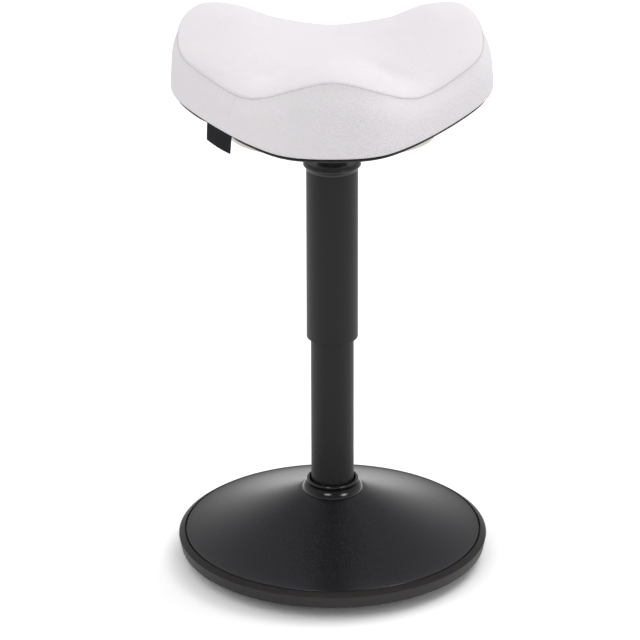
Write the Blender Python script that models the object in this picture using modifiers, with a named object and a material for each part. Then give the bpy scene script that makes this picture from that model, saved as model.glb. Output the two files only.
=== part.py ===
"""Saddle wobble stool.

An upholstered saddle seat on a gas-lift column, standing in a weighted base with a rocker rim.
Metres, +Z up, floor at Z = 0, column on the Z axis, the seat's front towards -Y.
"""

import math

import bmesh
import bpy
from mathutils import Matrix, Vector

OBJECT_NAME = "saddle_wobble_stool"

# Clearances
GAP = 0.0003
HOLE_ROOM = 0.0005
PIN_ROOM = 0.0003
FOAM_ROOM = 0.0013

# Base: floor pad and rocker tray
PAD_RADIUS = 0.090
PAD_THICKNESS = 0.004
PAD_EDGE = 0.001
ROCKER_START = 0.0012
TRAY_CORE = 0.006
TRAY_SHELL = 0.003
TRAY_WALL = 0.0025
BEAD_REACH = 0.003
BEAD_HEIGHT = 0.003

# Base: soft rim ring
RIM_RADIUS = 0.186
RIM_FOOT_HEIGHT = 0.014
RIM_SIDE_HEIGHT = 0.014
RIM_CREST_HEIGHT = 0.0052
RIM_TUCK = 0.0028
RIM_LIP = 0.0083
RIM_EDGE_ROUND = 0.0014
RING_WIDTH = 0.018
GROOVE_WIDTH = 0.0012
GROOVE_DEPTH = 0.0045

# Base: cone cover, its collar and its bosses
CONE_RISE = 0.047
CONE_HOLLOW = 1.15
COVER_WALL = 0.0025
NECK_RADIUS = 0.038
SKIRT_WALL = 0.0023
SKIRT_DEPTH = 0.008
COLLAR_RADIUS = 0.036
COLLAR_LIP = 0.005
COLLAR_HEIGHT = 0.0162
COLLAR_SIDE = 0.0034
COLLAR_SHOULDER = 0.0048
COLLAR_ROOM = 0.0018
COLLAR_PLUG = 0.006
BOSS_COUNT = 4
BOSS_RADIUS = 0.006
BOSS_INSET = 0.0072

# Base: ballast and column socket
BALLAST_ROOM = 0.006
BALLAST_THICKNESS = 0.014
BALLAST_EDGE = 0.002
SOCKET_WALL = 0.0057
SOCKET_FLANGE_RADIUS = 0.062
SOCKET_FLANGE = 0.006
SOCKET_ROOM = 0.0007
SOCKET_BOLT_COUNT = 3
SOCKET_BOLT_RADIUS = 0.004
SOCKET_BOLT_HEAD = 0.0065
SOCKET_BOLT_HEAD_HEIGHT = 0.005
SOCKET_BOLT_BITE = 0.0045

# Gas spring: outer tube, bush and bearing
OUTER_TUBE_RADIUS = 0.0256
OUTER_TUBE_WALL = 0.0018
OUTER_TUBE_LENGTH = 0.305
OUTER_TUBE_LIFT = 0.0094
OUTER_TUBE_END = 0.003
FOOT_TAPER = 0.001
BUSH_LENGTH = 0.070
BUSH_LIP = 0.003
ROD_RADIUS = 0.005
ROD_TAIL = 0.0070
RACE_REACH = 0.0075
RACE_THICKNESS = 0.002
BALL_RADIUS = 0.002
BALL_COUNT = 6
CAGE_THICKNESS = 0.0016
BUFFER_LENGTH = 0.0175
CLIP_REACH = 0.004
CLIP_THICKNESS = 0.0015
CLIP_GROOVE = 0.0009

# Gas spring: pressure cylinder and piston
CYLINDER_RADIUS = 0.014
CYLINDER_WALL = 0.002
CYLINDER_LENGTH = 0.3315
CYLINDER_LIP = 0.002
CYLINDER_HEAD = 0.0165
TAPER_LOSS = 0.0011
ROD_GUIDE_LENGTH = 0.012
PISTON_LENGTH = 0.012
PISTON_STUB = 0.0038
PISTON_MARGIN = 0.014
LIFT_UP = 0.015

# Telescoping cover tube
COVER_TUBE_WALL = 0.0016
COVER_TUBE_FOOT = 0.2845
COVER_TUBE_LENGTH = 0.2133
SLIDE_RING_WALL = 0.0028
SLIDE_RING_LENGTH = 0.014
SLIDE_RING_INSET = 0.0015
CAP_BULGE = 0.0036
CAP_HEIGHT = 0.0107
CAP_RIM = 0.0062
CAP_SPIGOT = 0.006
CAP_WEB = 0.0035
CAP_DISH = 0.0072
CAP_BOSS_HEIGHT = 0.0139
CAP_BOSS_WALL = 0.0036

# Seat mechanism
HUB_DROP = 0.0337
HUB_RADIUS = 0.020
HUB_COLLAR = 0.0035
HUB_COLLAR_HEIGHT = 0.0054
HUB_NOSE_RADIUS = 0.0185
HUB_PROUD = 0.0008
CHANNEL_WALL = 0.002
CHANNEL_ROOM = 0.0015
CHANNEL_DEPTH = 0.0174
CHANNEL_INNER = 0.030
CHANNEL_OUTER = 0.045
PLATE_HALF_WIDTH = 0.060
PLATE_HALF_DEPTH = 0.050
PLATE_THICKNESS = 0.0025
PLATE_CORNER = 0.012
BOLT_INSET_X = 0.014
BOLT_INSET_Y = 0.012
BOLT_RADIUS = 0.003
BOLT_HEAD = 0.0065
BOLT_HEAD_HEIGHT = 0.004
NUT_WALL = 0.0013
NUT_FLANGE = 0.010
NUT_FLANGE_THICKNESS = 0.0015
NUT_DEPTH = 0.008

# Release lever and valve pin
LEVER_ANGLE = math.radians(22.0)
LEVER_RADIUS = 0.004
LEVER_LIFT = 0.0083
LEVER_ARM = 0.026
LEVER_TIP = 0.003
LEVER_BARREL = 0.006
LEVER_PIN_RADIUS = 0.003
LEVER_PIN_PROUD = 0.001
PADDLE_START = 0.118
PADDLE_LENGTH = 0.050
PADDLE_WIDTH = 0.022
PADDLE_THICKNESS = 0.010
PADDLE_SOCKET = 0.032
PADDLE_EDGE = 0.003
VALVE_RADIUS = 0.0028
VALVE_LENGTH = 0.0195
VALVE_PROUD = 0.005

# Seat: belly cover, pan, board and label tab
BELLY_HALF_WIDTH = 0.1222
BELLY_HALF_DEPTH = 0.074
BELLY_SWELL = 0.03
BELLY_DEPTH = 0.0325
BELLY_WALL = 0.0025
BELLY_ROUND = 0.011
BELLY_HOLE_ROOM = 0.001
PAN_THICKNESS = 0.003
PAN_INSET = 0.002
PAN_SCREW_ANGLE = math.radians(22.0)
PAN_SCREW_SHARE = 0.72
PAN_SCREW_RADIUS = 0.0016
PAN_SCREW_HEAD = 0.004
PAN_SCREW_HEAD_HEIGHT = 0.0022
PAN_SCREW_BITE = 0.007
BOARD_THICKNESS = 0.010
BOARD_ROOM = 0.001
TAB_START = math.radians(50.3)
TAB_END = math.radians(64.6)
TAB_DROP = 0.0225
TAB_THICKNESS = 0.0012
TAB_SETBACK = 0.0004

# Seat: saddle form, in plan from the column axis and in height above the band's lower edge
SEAT_HALF_WIDTH = 0.188
SEAT_FRONT = 0.1712
SEAT_BACK = 0.1532
NOSE_HALF_WIDTH = 0.216
SLANT_REACH = 0.158
SLANT_ANGLE = math.radians(45.0)
CORNER_POWER = 23
BACK_SWELL = 0.05
SIDE_RISE = 0.0295
SEAM_INSET_FRONT = 0.0195
SEAM_INSET_SIDE = 0.0118
BOTTOM_INSET = 0.0086
BELLY_OF_BAND = 1.4
FABRIC = 0.0016
HEM = 0.012
THIGH_ANGLE = 46.0
EAR_ANGLE = 115.5
HIP_ANGLE = 140.0
POMMEL_SEAM = 0.088
THIGH_SEAM = 0.0525
EAR_SEAM = 0.1017
HIP_SEAM = 0.0728
BACK_SEAM = 0.048
POMMEL_CREST = 0.0993
THIGH_CREST = 0.0664
EAR_CREST = 0.114
HIP_CREST = 0.0846
BACK_CREST = 0.069
VALLEY = 0.0764
CREST_SHARE = 0.73
CREST_WAVES = 8
ROLL_TURN = math.radians(74.0)

# Facets
SEAT_SIDES = 32
BASE_STEPS = 36
TUBE_STEPS = 24
SMALL_STEPS = 16
SCREW_STEPS = 8
TOP_STATIONS = (0.0, 0.25, 0.46, 0.62, 0.75, 0.87, 0.95, 1.0)
BAND_STATIONS = (0.1, 0.35, 0.65, 0.9, 1.0)

# Radii and heights that follow from the sizes above
groove_radius = RIM_RADIUS - RIM_LIP
groove_height = RIM_FOOT_HEIGHT + RIM_SIDE_HEIGHT + RIM_CREST_HEIGHT
rim_edge_height = RIM_FOOT_HEIGHT + RIM_SIDE_HEIGHT
rim_foot_radius = RIM_RADIUS - RIM_TUCK
ring_inner = RIM_RADIUS - RING_WIDTH
shoulder_height = groove_height - GROOVE_DEPTH
tray_outer = ring_inner - GAP
tray_inner = tray_outer - TRAY_WALL
tray_recess = PAD_THICKNESS + GAP
tray_floor = tray_recess + TRAY_CORE
boss_circle = tray_inner - BOSS_RADIUS - BOSS_INSET
neck_height = groove_height + CONE_RISE
socket_foot = tray_floor + GAP
socket_top = neck_height - COLLAR_PLUG - SOCKET_ROOM
ballast_low = socket_foot + SOCKET_FLANGE + GAP
ballast_top = ballast_low + BALLAST_THICKNESS
outer_tube_foot = socket_foot + OUTER_TUBE_LIFT
outer_tube_top = outer_tube_foot + OUTER_TUBE_LENGTH
outer_tube_bore = OUTER_TUBE_RADIUS - OUTER_TUBE_WALL
socket_radius = OUTER_TUBE_RADIUS + GAP + SOCKET_WALL
socket_bolt_circle = (socket_radius + SOCKET_FLANGE_RADIUS) / 2
bearing_bore = ROD_RADIUS + HOLE_ROOM
bearing_radius = bearing_bore + RACE_REACH
lower_race_low = outer_tube_foot + OUTER_TUBE_END + GAP
ball_height = lower_race_low + RACE_THICKNESS + GAP + BALL_RADIUS
upper_race_low = ball_height + BALL_RADIUS + GAP
buffer_low = upper_race_low + RACE_THICKNESS + GAP
cover_tube_radius = OUTER_TUBE_RADIUS + 2 * GAP + SLIDE_RING_WALL + COVER_TUBE_WALL
cover_tube_bore = cover_tube_radius - COVER_TUBE_WALL
cover_tube_top = COVER_TUBE_FOOT + COVER_TUBE_LENGTH
hub_foot = cover_tube_top + CAP_BOSS_HEIGHT + GAP
web_low = hub_foot + HUB_DROP
web_top = web_low + CHANNEL_WALL
hub_top = web_top + HUB_PROUD
lever_height = web_top + LEVER_LIFT
cylinder_top = lever_height - LEVER_RADIUS - HOLE_ROOM - VALVE_PROUD
cylinder_foot = cylinder_top - CYLINDER_LENGTH
cylinder_bore = CYLINDER_RADIUS - CYLINDER_WALL
rod_guide_low = cylinder_foot + CYLINDER_LIP + GAP
piston_low = rod_guide_low + ROD_GUIDE_LENGTH + LIFT_UP + PISTON_MARGIN
buffer_top = buffer_low + BUFFER_LENGTH
plate_low = web_top + CHANNEL_DEPTH + GAP
plate_top = plate_low + PLATE_THICKNESS
pan_low = plate_top + GAP
pan_top = pan_low + PAN_THICKNESS
seat_bottom = pan_top + GAP
board_low = seat_bottom + FABRIC + GAP
board_top = board_low + BOARD_THICKNESS
foam_low = board_top + GAP
channel_half = HUB_RADIUS + CHANNEL_ROOM
bolt_x = PLATE_HALF_WIDTH - BOLT_INSET_X
bolt_y = PLATE_HALF_DEPTH - BOLT_INSET_Y
lever_way = Vector((-math.cos(LEVER_ANGLE), math.sin(LEVER_ANGLE), 0.0))
lever_axis = Vector((math.sin(LEVER_ANGLE), math.cos(LEVER_ANGLE), 0.0))
lever_pivot = lever_way * LEVER_ARM + Vector((0.0, 0.0, lever_height))


# Scene, materials and mesh helpers
def clear_scene():
    for item in list(bpy.data.objects):
        bpy.data.objects.remove(item, do_unlink=True)


def new_collection(name):
    collection = bpy.data.collections.new(name)
    bpy.context.scene.collection.children.link(collection)
    return collection


def make_material(name, colour, roughness, metallic=0.0):
    material = bpy.data.materials.new(name)
    material.use_nodes = True
    shader = material.node_tree.nodes["Principled BSDF"]
    shader.inputs["Base Color"].default_value = (*colour, 1.0)
    shader.inputs["Roughness"].default_value = roughness
    shader.inputs["Metallic"].default_value = metallic
    return material


def add_part(name, mesh, material, axis=None):
    """Link one named piece, with its parent empty on its joint's axis if it moves."""
    part = bpy.data.objects.new(name, mesh)
    parts.objects.link(part)
    mesh.materials.clear()
    mesh.materials.append(material)
    if axis is not None:
        part.parent = axis
        part.matrix_parent_inverse = Matrix.Translation(-axis.location)
    return part


def add_axis(name, place):
    axis = bpy.data.objects.new(name, None)
    axis.location = place
    parts.objects.link(axis)
    return axis


def profile_mesh(name, points):
    """A turned shape's profile in the XZ plane, closed unless it ends on the axis."""
    mesh = bpy.data.meshes.new(name)
    count = len(points)
    edges = [(index, index + 1) for index in range(count - 1)]
    if points[0][0] > 0.0 or points[-1][0] > 0.0:
        edges.append((count - 1, 0))
    mesh.from_pydata([(radius, 0.0, height) for radius, height in points], edges, [])
    return mesh


def add_screw(part, steps):
    screw = part.modifiers.new("turn", "SCREW")
    screw.axis = "Z"
    screw.steps = steps
    screw.render_steps = steps
    screw.use_merge_vertices = True
    screw.merge_threshold = 0.00001
    screw.use_smooth_shade = True


def turn(name, points, steps, material, axis=None):
    part = add_part(name, profile_mesh(name, points), material, axis)
    add_screw(part, steps)
    return part


def evaluated_mesh(source):
    """The finished mesh of an object, with its loose caps welded; the object is removed."""
    bpy.context.view_layer.update()
    graph = bpy.context.evaluated_depsgraph_get()
    mesh = bpy.data.meshes.new_from_object(source.evaluated_get(graph))
    mesh.transform(source.matrix_world)
    form = bmesh.new()
    form.from_mesh(mesh)
    bmesh.ops.remove_doubles(form, verts=form.verts, dist=0.000005)
    form.to_mesh(mesh)
    form.free()
    bpy.data.objects.remove(source, do_unlink=True)
    return mesh


def turned_copies(name, points, steps, places, material, axis=None):
    """Like pieces, such as screws: one turned profile, with a numbered piece at each place."""
    mesh = profile_mesh(name, points)
    for number, place in enumerate(places, 1):
        part = add_part(f"{name}_{number}", mesh, material, axis)
        part.location = place
        add_screw(part, steps)


def skin(name, rings, material, axis=None, ends="points"):
    """Loft through rings of points, which ends in points, in flat caps or in a loop.

    Its faces split the same way at every depth, so nested skins stay parallel.
    """
    form = bmesh.new()
    rows = [[form.verts.new(point) for point in ring] for ring in rings]
    pairs = list(zip(rows, rows[1:]))
    if ends == "loop":
        pairs.append((rows[-1], rows[0]))
    for upper, lower in pairs:
        count = max(len(upper), len(lower))
        for index in range(count):
            after = (index + 1) % count
            if len(upper) == 1:
                form.faces.new((upper[0], lower[index], lower[after]))
            elif len(lower) == 1:
                form.faces.new((upper[index], lower[0], upper[after]))
            else:
                near, far = sorted((upper, lower), key=lambda row: row[0].co.xy.length)
                if index < count / 2:
                    form.faces.new((near[index], far[index], far[after]))
                    form.faces.new((near[index], far[after], near[after]))
                else:
                    form.faces.new((near[index], far[index], near[after]))
                    form.faces.new((far[index], far[after], near[after]))
    if ends == "caps":
        form.faces.new(rows[0])
        form.faces.new(rows[-1])
    bmesh.ops.recalc_face_normals(form, faces=form.faces)
    mesh = bpy.data.meshes.new(name)
    form.to_mesh(mesh)
    form.free()
    mesh.shade_smooth()
    mesh.set_sharp_from_angle(angle=math.radians(45.0))
    return add_part(name, mesh, material, axis)


def flat_outline(name, outline, thickness):
    """A flat outline, given as 2D points, as a mesh of one thickness about its own plane."""
    curve = bpy.data.curves.new(name, "CURVE")
    curve.dimensions = "2D"
    curve.fill_mode = "BOTH"
    curve.extrude = thickness / 2
    spline = curve.splines.new("POLY")
    spline.points.add(len(outline) - 1)
    for point, place in zip(spline.points, outline):
        point.co = (place[0], place[1], 0.0, 1.0)
    spline.use_cyclic_u = True
    holder = bpy.data.objects.new(name, curve)
    parts.objects.link(holder)
    return evaluated_mesh(holder)


def add_cutter(name, mesh):
    cutter = bpy.data.objects.new(name, mesh)
    cutters.objects.link(cutter)
    cutter.hide_render = True
    cutter.display_type = "WIRE"
    return cutter


def rod_cutter(name, rods, sides=SCREW_STEPS):
    """Straight rods as cutters, each given as radius, start and end."""
    form = bmesh.new()
    for radius, start, end in rods:
        way = Vector(end) - Vector(start)
        turn_to = way.to_track_quat("Z", "Y").to_matrix().to_4x4()
        middle = (Vector(start) + Vector(end)) / 2
        bmesh.ops.create_cone(
            form,
            cap_ends=True,
            segments=sides,
            radius1=radius,
            radius2=radius,
            depth=way.length,
            matrix=Matrix.Translation(middle) @ turn_to,
        )
    mesh = bpy.data.meshes.new(name)
    form.to_mesh(mesh)
    form.free()
    return add_cutter(name, mesh)


def combine(part, cutter, operation="DIFFERENCE"):
    boolean = part.modifiers.new(operation.lower(), "BOOLEAN")
    boolean.operation = operation
    boolean.solver = "EXACT"
    boolean.object = cutter


def arc(centre, radii, start, end, count):
    """Points of an elliptical arc in the profile plane, with angles in degrees."""
    points = []
    for index in range(count + 1):
        angle = math.radians(start + (end - start) * index / count)
        points.append((centre[0] + radii[0] * math.cos(angle), centre[1] + radii[1] * math.sin(angle)))
    return points


def circle_places(count, radius, height, start=0.0):
    places = []
    for index in range(count):
        angle = start + 2.0 * math.pi * index / count
        places.append(Vector((radius * math.cos(angle), radius * math.sin(angle), height)))
    return places


def screw_profile(radius, head_radius, head_height, length, head_up):
    """A pan-head screw about its head's bearing face at height 0."""
    side = -1.0 if head_up else 1.0
    points = [
        (0.0, -side * head_height),
        (head_radius * 0.8, -side * head_height),
        (head_radius, 0.0),
        (radius, 0.0),
        (radius, side * length),
        (0.0, side * length),
    ]
    return points if head_up else points[::-1]


# Base
def underside(radius):
    """Height of the rocker's convex underside outside the floor pad."""
    share = (radius - PAD_RADIUS) / (rim_foot_radius - PAD_RADIUS)
    return ROCKER_START + (RIM_FOOT_HEIGHT - ROCKER_START) * share ** 2


def underside_run(outer, inner, count):
    return [
        (outer + (inner - outer) * index / count, underside(outer + (inner - outer) * index / count))
        for index in range(count + 1)
    ]


def build_floor_pad():
    points = [(0.0, PAD_THICKNESS), (PAD_RADIUS - PAD_EDGE, PAD_THICKNESS), (PAD_RADIUS, PAD_THICKNESS - PAD_EDGE)]
    points += [(PAD_RADIUS, PAD_EDGE), (PAD_RADIUS - PAD_EDGE, 0.0), (0.0, 0.0)]
    turn("floor_pad", points, BASE_STEPS, rubber)


def bead_run(outer, room):
    """The bead that holds the rim ring, down the tray's wall, or its groove with some room."""
    middle = (underside(tray_outer) + shoulder_height) / 2
    half = BEAD_HEIGHT / 2
    return [
        (outer, middle + half + BEAD_REACH * 0.4 + room),
        (outer + BEAD_REACH, middle + half + room),
        (outer + BEAD_REACH, middle - half - room),
        (outer, middle - half - BEAD_REACH * 0.4 - room),
    ]


def build_rocker_tray():
    wall_top = shoulder_height - GAP
    points = [(0.0, tray_floor), (boss_circle - BOSS_RADIUS * 3, tray_floor)]
    points += [(radius, height + TRAY_SHELL) for radius, height in underside_run(tray_inner, boss_circle, 1)[::-1]]
    points += [(tray_inner, wall_top), (tray_outer, wall_top)]
    points += bead_run(tray_outer, 0.0)
    points += underside_run(tray_outer, PAD_RADIUS + GAP, 4)
    points += [(PAD_RADIUS + GAP, tray_recess), (0.0, tray_recess)]
    tray = turn("rocker_tray", points, BASE_STEPS, black_moulding)
    holes = []
    for place in circle_places(BOSS_COUNT, boss_circle, 0.0):
        under = underside(boss_circle)
        holes.append((BOSS_RADIUS * 0.75, place, place + Vector((0.0, 0.0, under + TRAY_SHELL / 2))))
        holes.append((PAN_SCREW_RADIUS + HOLE_ROOM, place, place + Vector((0.0, 0.0, tray_floor + TRAY_SHELL))))
    combine(tray, rod_cutter("tray_counterbores", holes[0::2]))
    combine(tray, rod_cutter("tray_screw_holes", holes[1::2]))
    blind = tray_floor - SOCKET_BOLT_BITE - GAP
    taps = []
    for place in circle_places(SOCKET_BOLT_COUNT, socket_bolt_circle, 0.0):
        low = place + Vector((0.0, 0.0, blind))
        taps.append((SOCKET_BOLT_RADIUS + PIN_ROOM, low, place + Vector((0.0, 0.0, tray_floor + TRAY_SHELL))))
    combine(tray, rod_cutter("tray_bolt_holes", taps))


def build_rim_ring():
    crest_inner = groove_radius + GROOVE_WIDTH
    edge = arc((RIM_RADIUS - RIM_EDGE_ROUND, rim_edge_height), (RIM_EDGE_ROUND, RIM_EDGE_ROUND), 58.0, -10.0, 4)
    points = [(crest_inner, groove_height)] + edge + underside_run(rim_foot_radius, ring_inner, 2)
    points += bead_run(ring_inner, GAP)[::-1]
    points += [(ring_inner, shoulder_height), (crest_inner, shoulder_height)]
    turn("rim_ring", points, BASE_STEPS, rubber)


def cone_height(radius):
    share = (groove_radius - radius) / (groove_radius - NECK_RADIUS)
    return groove_height + CONE_RISE * share ** CONE_HOLLOW


def build_cone_cover():
    neck_hole = OUTER_TUBE_RADIUS + COLLAR_ROOM + COVER_WALL
    edge = groove_radius - GAP
    inner_start = NECK_RADIUS + COVER_WALL
    skirt_outer = tray_inner - GAP
    skirt_inner = skirt_outer - SKIRT_WALL
    rest = shoulder_height + GAP
    points = [(neck_hole, neck_height)]
    for index in range(6):
        radius = NECK_RADIUS + (edge - NECK_RADIUS) * index / 5
        points.append((radius, cone_height(radius)))
    points += [(edge, rest), (skirt_outer, rest), (skirt_outer, rest - SKIRT_DEPTH), (skirt_inner, rest - SKIRT_DEPTH)]
    for index in range(3):
        radius = skirt_inner + (inner_start - skirt_inner) * index / 2
        points.append((radius, cone_height(radius) - COVER_WALL))
    points.append((neck_hole, neck_height - COVER_WALL))
    cover = turn("cone_cover", points, BASE_STEPS, satin_black)
    boss_low = underside(boss_circle + BOSS_RADIUS) + TRAY_SHELL + GAP
    bosses = []
    pilots = []
    for place in circle_places(BOSS_COUNT, boss_circle, 0.0):
        low = place + Vector((0.0, 0.0, boss_low))
        bosses.append((BOSS_RADIUS, low, place + Vector((0.0, 0.0, cone_height(boss_circle + BOSS_RADIUS) - COVER_WALL / 3))))
        pilots.append((PAN_SCREW_RADIUS + PIN_ROOM, place, place + Vector((0.0, 0.0, boss_low + PAN_SCREW_BITE))))
    combine(cover, rod_cutter("cover_bosses", bosses, SMALL_STEPS), "UNION")
    combine(cover, rod_cutter("cover_pilots", pilots))


def build_base_screws():
    head_face = underside(boss_circle) + TRAY_SHELL / 2 - GAP
    boss_low = underside(boss_circle + BOSS_RADIUS) + TRAY_SHELL + GAP
    length = boss_low + PAN_SCREW_BITE - HOLE_ROOM - head_face
    points = screw_profile(PAN_SCREW_RADIUS, BOSS_RADIUS * 0.65, PAN_SCREW_HEAD_HEIGHT, length, False)
    turned_copies("base_screw", points, SCREW_STEPS, circle_places(BOSS_COUNT, boss_circle, head_face), zinc_steel)


def build_base_collar():
    hole = OUTER_TUBE_RADIUS + COLLAR_ROOM
    low = neck_height + GAP
    top = low + COLLAR_HEIGHT
    lip = COLLAR_RADIUS - COLLAR_LIP
    lip_round = (lip - hole) / 2
    points = arc((lip - lip_round, top - lip_round), (lip_round, lip_round), 150.0, 0.0, 5)
    points += arc((lip, low + COLLAR_SIDE), (COLLAR_LIP, COLLAR_SHOULDER), 90.0, 0.0, 4)
    points.append((COLLAR_RADIUS, low))
    plug = hole + COVER_WALL - GAP
    points += [(plug, low), (plug, low - COLLAR_PLUG), (hole, low - COLLAR_PLUG)]
    turn("base_collar", points, TUBE_STEPS, gloss_black)


def tube_radius(height):
    """Outer radius of the lower column tube, which tapers inside its socket."""
    share = (socket_top - height) / (socket_top - outer_tube_foot)
    return OUTER_TUBE_RADIUS - FOOT_TAPER * min(max(share, 0.0), 1.0)


def build_hub_socket():
    points = [(OUTER_TUBE_RADIUS + GAP, socket_top), (socket_radius, socket_top)]
    points += [(socket_radius, socket_foot + SOCKET_FLANGE), (SOCKET_FLANGE_RADIUS, socket_foot + SOCKET_FLANGE)]
    points += [(SOCKET_FLANGE_RADIUS, socket_foot), (tube_radius(outer_tube_foot) + GAP, socket_foot)]
    points += [(tube_radius(outer_tube_foot) + GAP, outer_tube_foot)]
    socket = turn("hub_socket", points, TUBE_STEPS, zinc_steel)
    combine(socket, bolt_hole_cutter("socket_bolt_holes"))


def bolt_hole_cutter(name):
    holes = []
    for place in circle_places(SOCKET_BOLT_COUNT, socket_bolt_circle, 0.0):
        holes.append((SOCKET_BOLT_RADIUS + HOLE_ROOM, place, place + Vector((0.0, 0.0, ballast_top + TRAY_SHELL))))
    return rod_cutter(name, holes)


def build_ballast():
    outer = boss_circle - BOSS_RADIUS - BALLAST_ROOM
    inner = socket_radius + HOLE_ROOM
    points = [(inner, ballast_top), (outer - BALLAST_EDGE, ballast_top), (outer, ballast_top - BALLAST_EDGE)]
    points += [(outer, ballast_low + BALLAST_EDGE), (outer - BALLAST_EDGE, ballast_low), (inner, ballast_low)]
    ballast = turn("ballast_disc", points, TUBE_STEPS, cast_iron)
    combine(ballast, bolt_hole_cutter("ballast_bolt_holes"))


def build_socket_bolts():
    head_face = ballast_top + GAP
    length = head_face - tray_floor + SOCKET_BOLT_BITE
    points = screw_profile(SOCKET_BOLT_RADIUS, SOCKET_BOLT_HEAD, SOCKET_BOLT_HEAD_HEIGHT, length, True)
    places = circle_places(SOCKET_BOLT_COUNT, socket_bolt_circle, head_face)
    turned_copies("socket_bolt", points, SCREW_STEPS, places, zinc_steel)


# Column
def build_outer_tube():
    hole = ROD_RADIUS + HOLE_ROOM * 2
    points = [(outer_tube_bore, outer_tube_top), (OUTER_TUBE_RADIUS, outer_tube_top)]
    points += [(OUTER_TUBE_RADIUS, socket_top), (tube_radius(outer_tube_foot), outer_tube_foot)]
    points += [(hole, outer_tube_foot), (hole, outer_tube_foot + OUTER_TUBE_END)]
    points += [(outer_tube_bore - FOOT_TAPER, outer_tube_foot + OUTER_TUBE_END), (outer_tube_bore, socket_top)]
    turn("outer_tube", points, TUBE_STEPS, satin_black_steel)


def build_guide_bush():
    bore = CYLINDER_RADIUS + PIN_ROOM
    outer = outer_tube_bore - GAP
    low = outer_tube_top - BUSH_LENGTH
    lip_low = outer_tube_top + GAP
    lip_top = lip_low + BUSH_LIP
    lip = OUTER_TUBE_RADIUS - GAP
    points = [(bore, lip_top), (lip - BUSH_LIP / 3, lip_top), (lip, lip_top - BUSH_LIP / 3), (lip, lip_low)]
    points += [(outer, lip_low), (outer, low), (bore, low)]
    turn("guide_bush", points, TUBE_STEPS, black_moulding)


def ring_points(inner, outer, low, high):
    return [(inner, high), (outer, high), (outer, low), (inner, low)]


def build_bearing(turning):
    lower = ring_points(bearing_bore, bearing_radius, lower_race_low, lower_race_low + RACE_THICKNESS)
    turn("lower_race", lower, SMALL_STEPS, zinc_steel)
    upper = ring_points(bearing_bore, bearing_radius, upper_race_low, upper_race_low + RACE_THICKNESS)
    turn("upper_race", upper, SMALL_STEPS, zinc_steel, turning)
    ball_circle = (bearing_bore + bearing_radius) / 2
    cage_low = ball_height - CAGE_THICKNESS / 2
    cage_points = ring_points(bearing_bore, bearing_radius, cage_low, cage_low + CAGE_THICKNESS)
    cage = turn("ball_cage", cage_points, SMALL_STEPS, brass)
    form = bmesh.new()
    bmesh.ops.create_icosphere(form, subdivisions=2, radius=BALL_RADIUS)
    mesh = bpy.data.meshes.new("bearing_ball")
    form.to_mesh(mesh)
    form.free()
    mesh.shade_smooth()
    pockets = []
    for number, place in enumerate(circle_places(BALL_COUNT, ball_circle, ball_height), 1):
        drop = Vector((0.0, 0.0, CAGE_THICKNESS))
        pockets.append((BALL_RADIUS + GAP, place - drop, place + drop))
        add_part(f"bearing_ball_{number}", mesh, zinc_steel).location = place
    combine(cage, rod_cutter("cage_pockets", pockets))


def build_rod(turning):
    clip_top = outer_tube_foot - GAP
    clip_low = clip_top - CLIP_THICKNESS
    groove = ROD_RADIUS - CLIP_GROOVE
    stub_top = piston_low + PISTON_LENGTH + GAP
    points = [(0.0, stub_top), (PISTON_STUB, stub_top), (PISTON_STUB, piston_low - GAP), (ROD_RADIUS, piston_low - GAP)]
    points += [(ROD_RADIUS, clip_top + GAP), (groove, clip_top + GAP), (groove, clip_low - GAP)]
    points += [(ROD_RADIUS, clip_low - GAP), (ROD_RADIUS, outer_tube_foot - ROD_TAIL), (0.0, outer_tube_foot - ROD_TAIL)]
    turn("piston_rod", points, SMALL_STEPS, bright_steel, turning)
    clip = ring_points(groove + GAP, groove + GAP + CLIP_REACH, clip_low, clip_top)
    turn("rod_clip", clip, SMALL_STEPS, zinc_steel, turning)
    outer = cylinder_bore - PIN_ROOM
    bore = PISTON_STUB + GAP
    top = piston_low + PISTON_LENGTH
    middle = piston_low + PISTON_LENGTH / 2
    groove_half = PISTON_LENGTH / 8
    piston = [(bore, top), (outer, top), (outer, middle + groove_half), (outer - groove_half, middle + groove_half)]
    piston += [(outer - groove_half, middle - groove_half), (outer, middle - groove_half), (outer, piston_low)]
    piston.append((bore, piston_low))
    turn("piston", piston, SMALL_STEPS, brass, turning)
    buffer = ring_points(bearing_bore, bearing_radius, buffer_low, buffer_top)
    turn("rubber_buffer", buffer, SMALL_STEPS, rubber, turning)


def cylinder_taper(height):
    share = (height - hub_foot) / (cylinder_top - hub_foot)
    return CYLINDER_RADIUS - TAPER_LOSS * min(max(share, 0.0), 1.0)


def build_cylinder(lift):
    valve_hole = VALVE_RADIUS + PIN_ROOM
    head_low = cylinder_top - CYLINDER_HEAD
    bevel = TAPER_LOSS / 2
    lip = cylinder_bore - CYLINDER_LIP
    points = [(valve_hole, cylinder_top), (cylinder_taper(cylinder_top) - bevel, cylinder_top)]
    points += [(cylinder_taper(cylinder_top), cylinder_top - bevel), (CYLINDER_RADIUS, hub_foot)]
    points += [(CYLINDER_RADIUS, cylinder_foot), (lip, cylinder_foot), (lip, cylinder_foot + CYLINDER_LIP)]
    points += [(cylinder_bore, cylinder_foot + CYLINDER_LIP), (cylinder_bore, hub_foot - CYLINDER_WALL)]
    points += [(cylinder_bore - TAPER_LOSS, head_low), (valve_hole, head_low)]
    turn("pressure_cylinder", points, TUBE_STEPS, bright_steel, lift)
    guide = ring_points(
        ROD_RADIUS + PIN_ROOM,
        cylinder_bore - GAP,
        rod_guide_low,
        rod_guide_low + ROD_GUIDE_LENGTH,
    )
    turn("rod_guide", guide, SMALL_STEPS, brass, lift)


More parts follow.
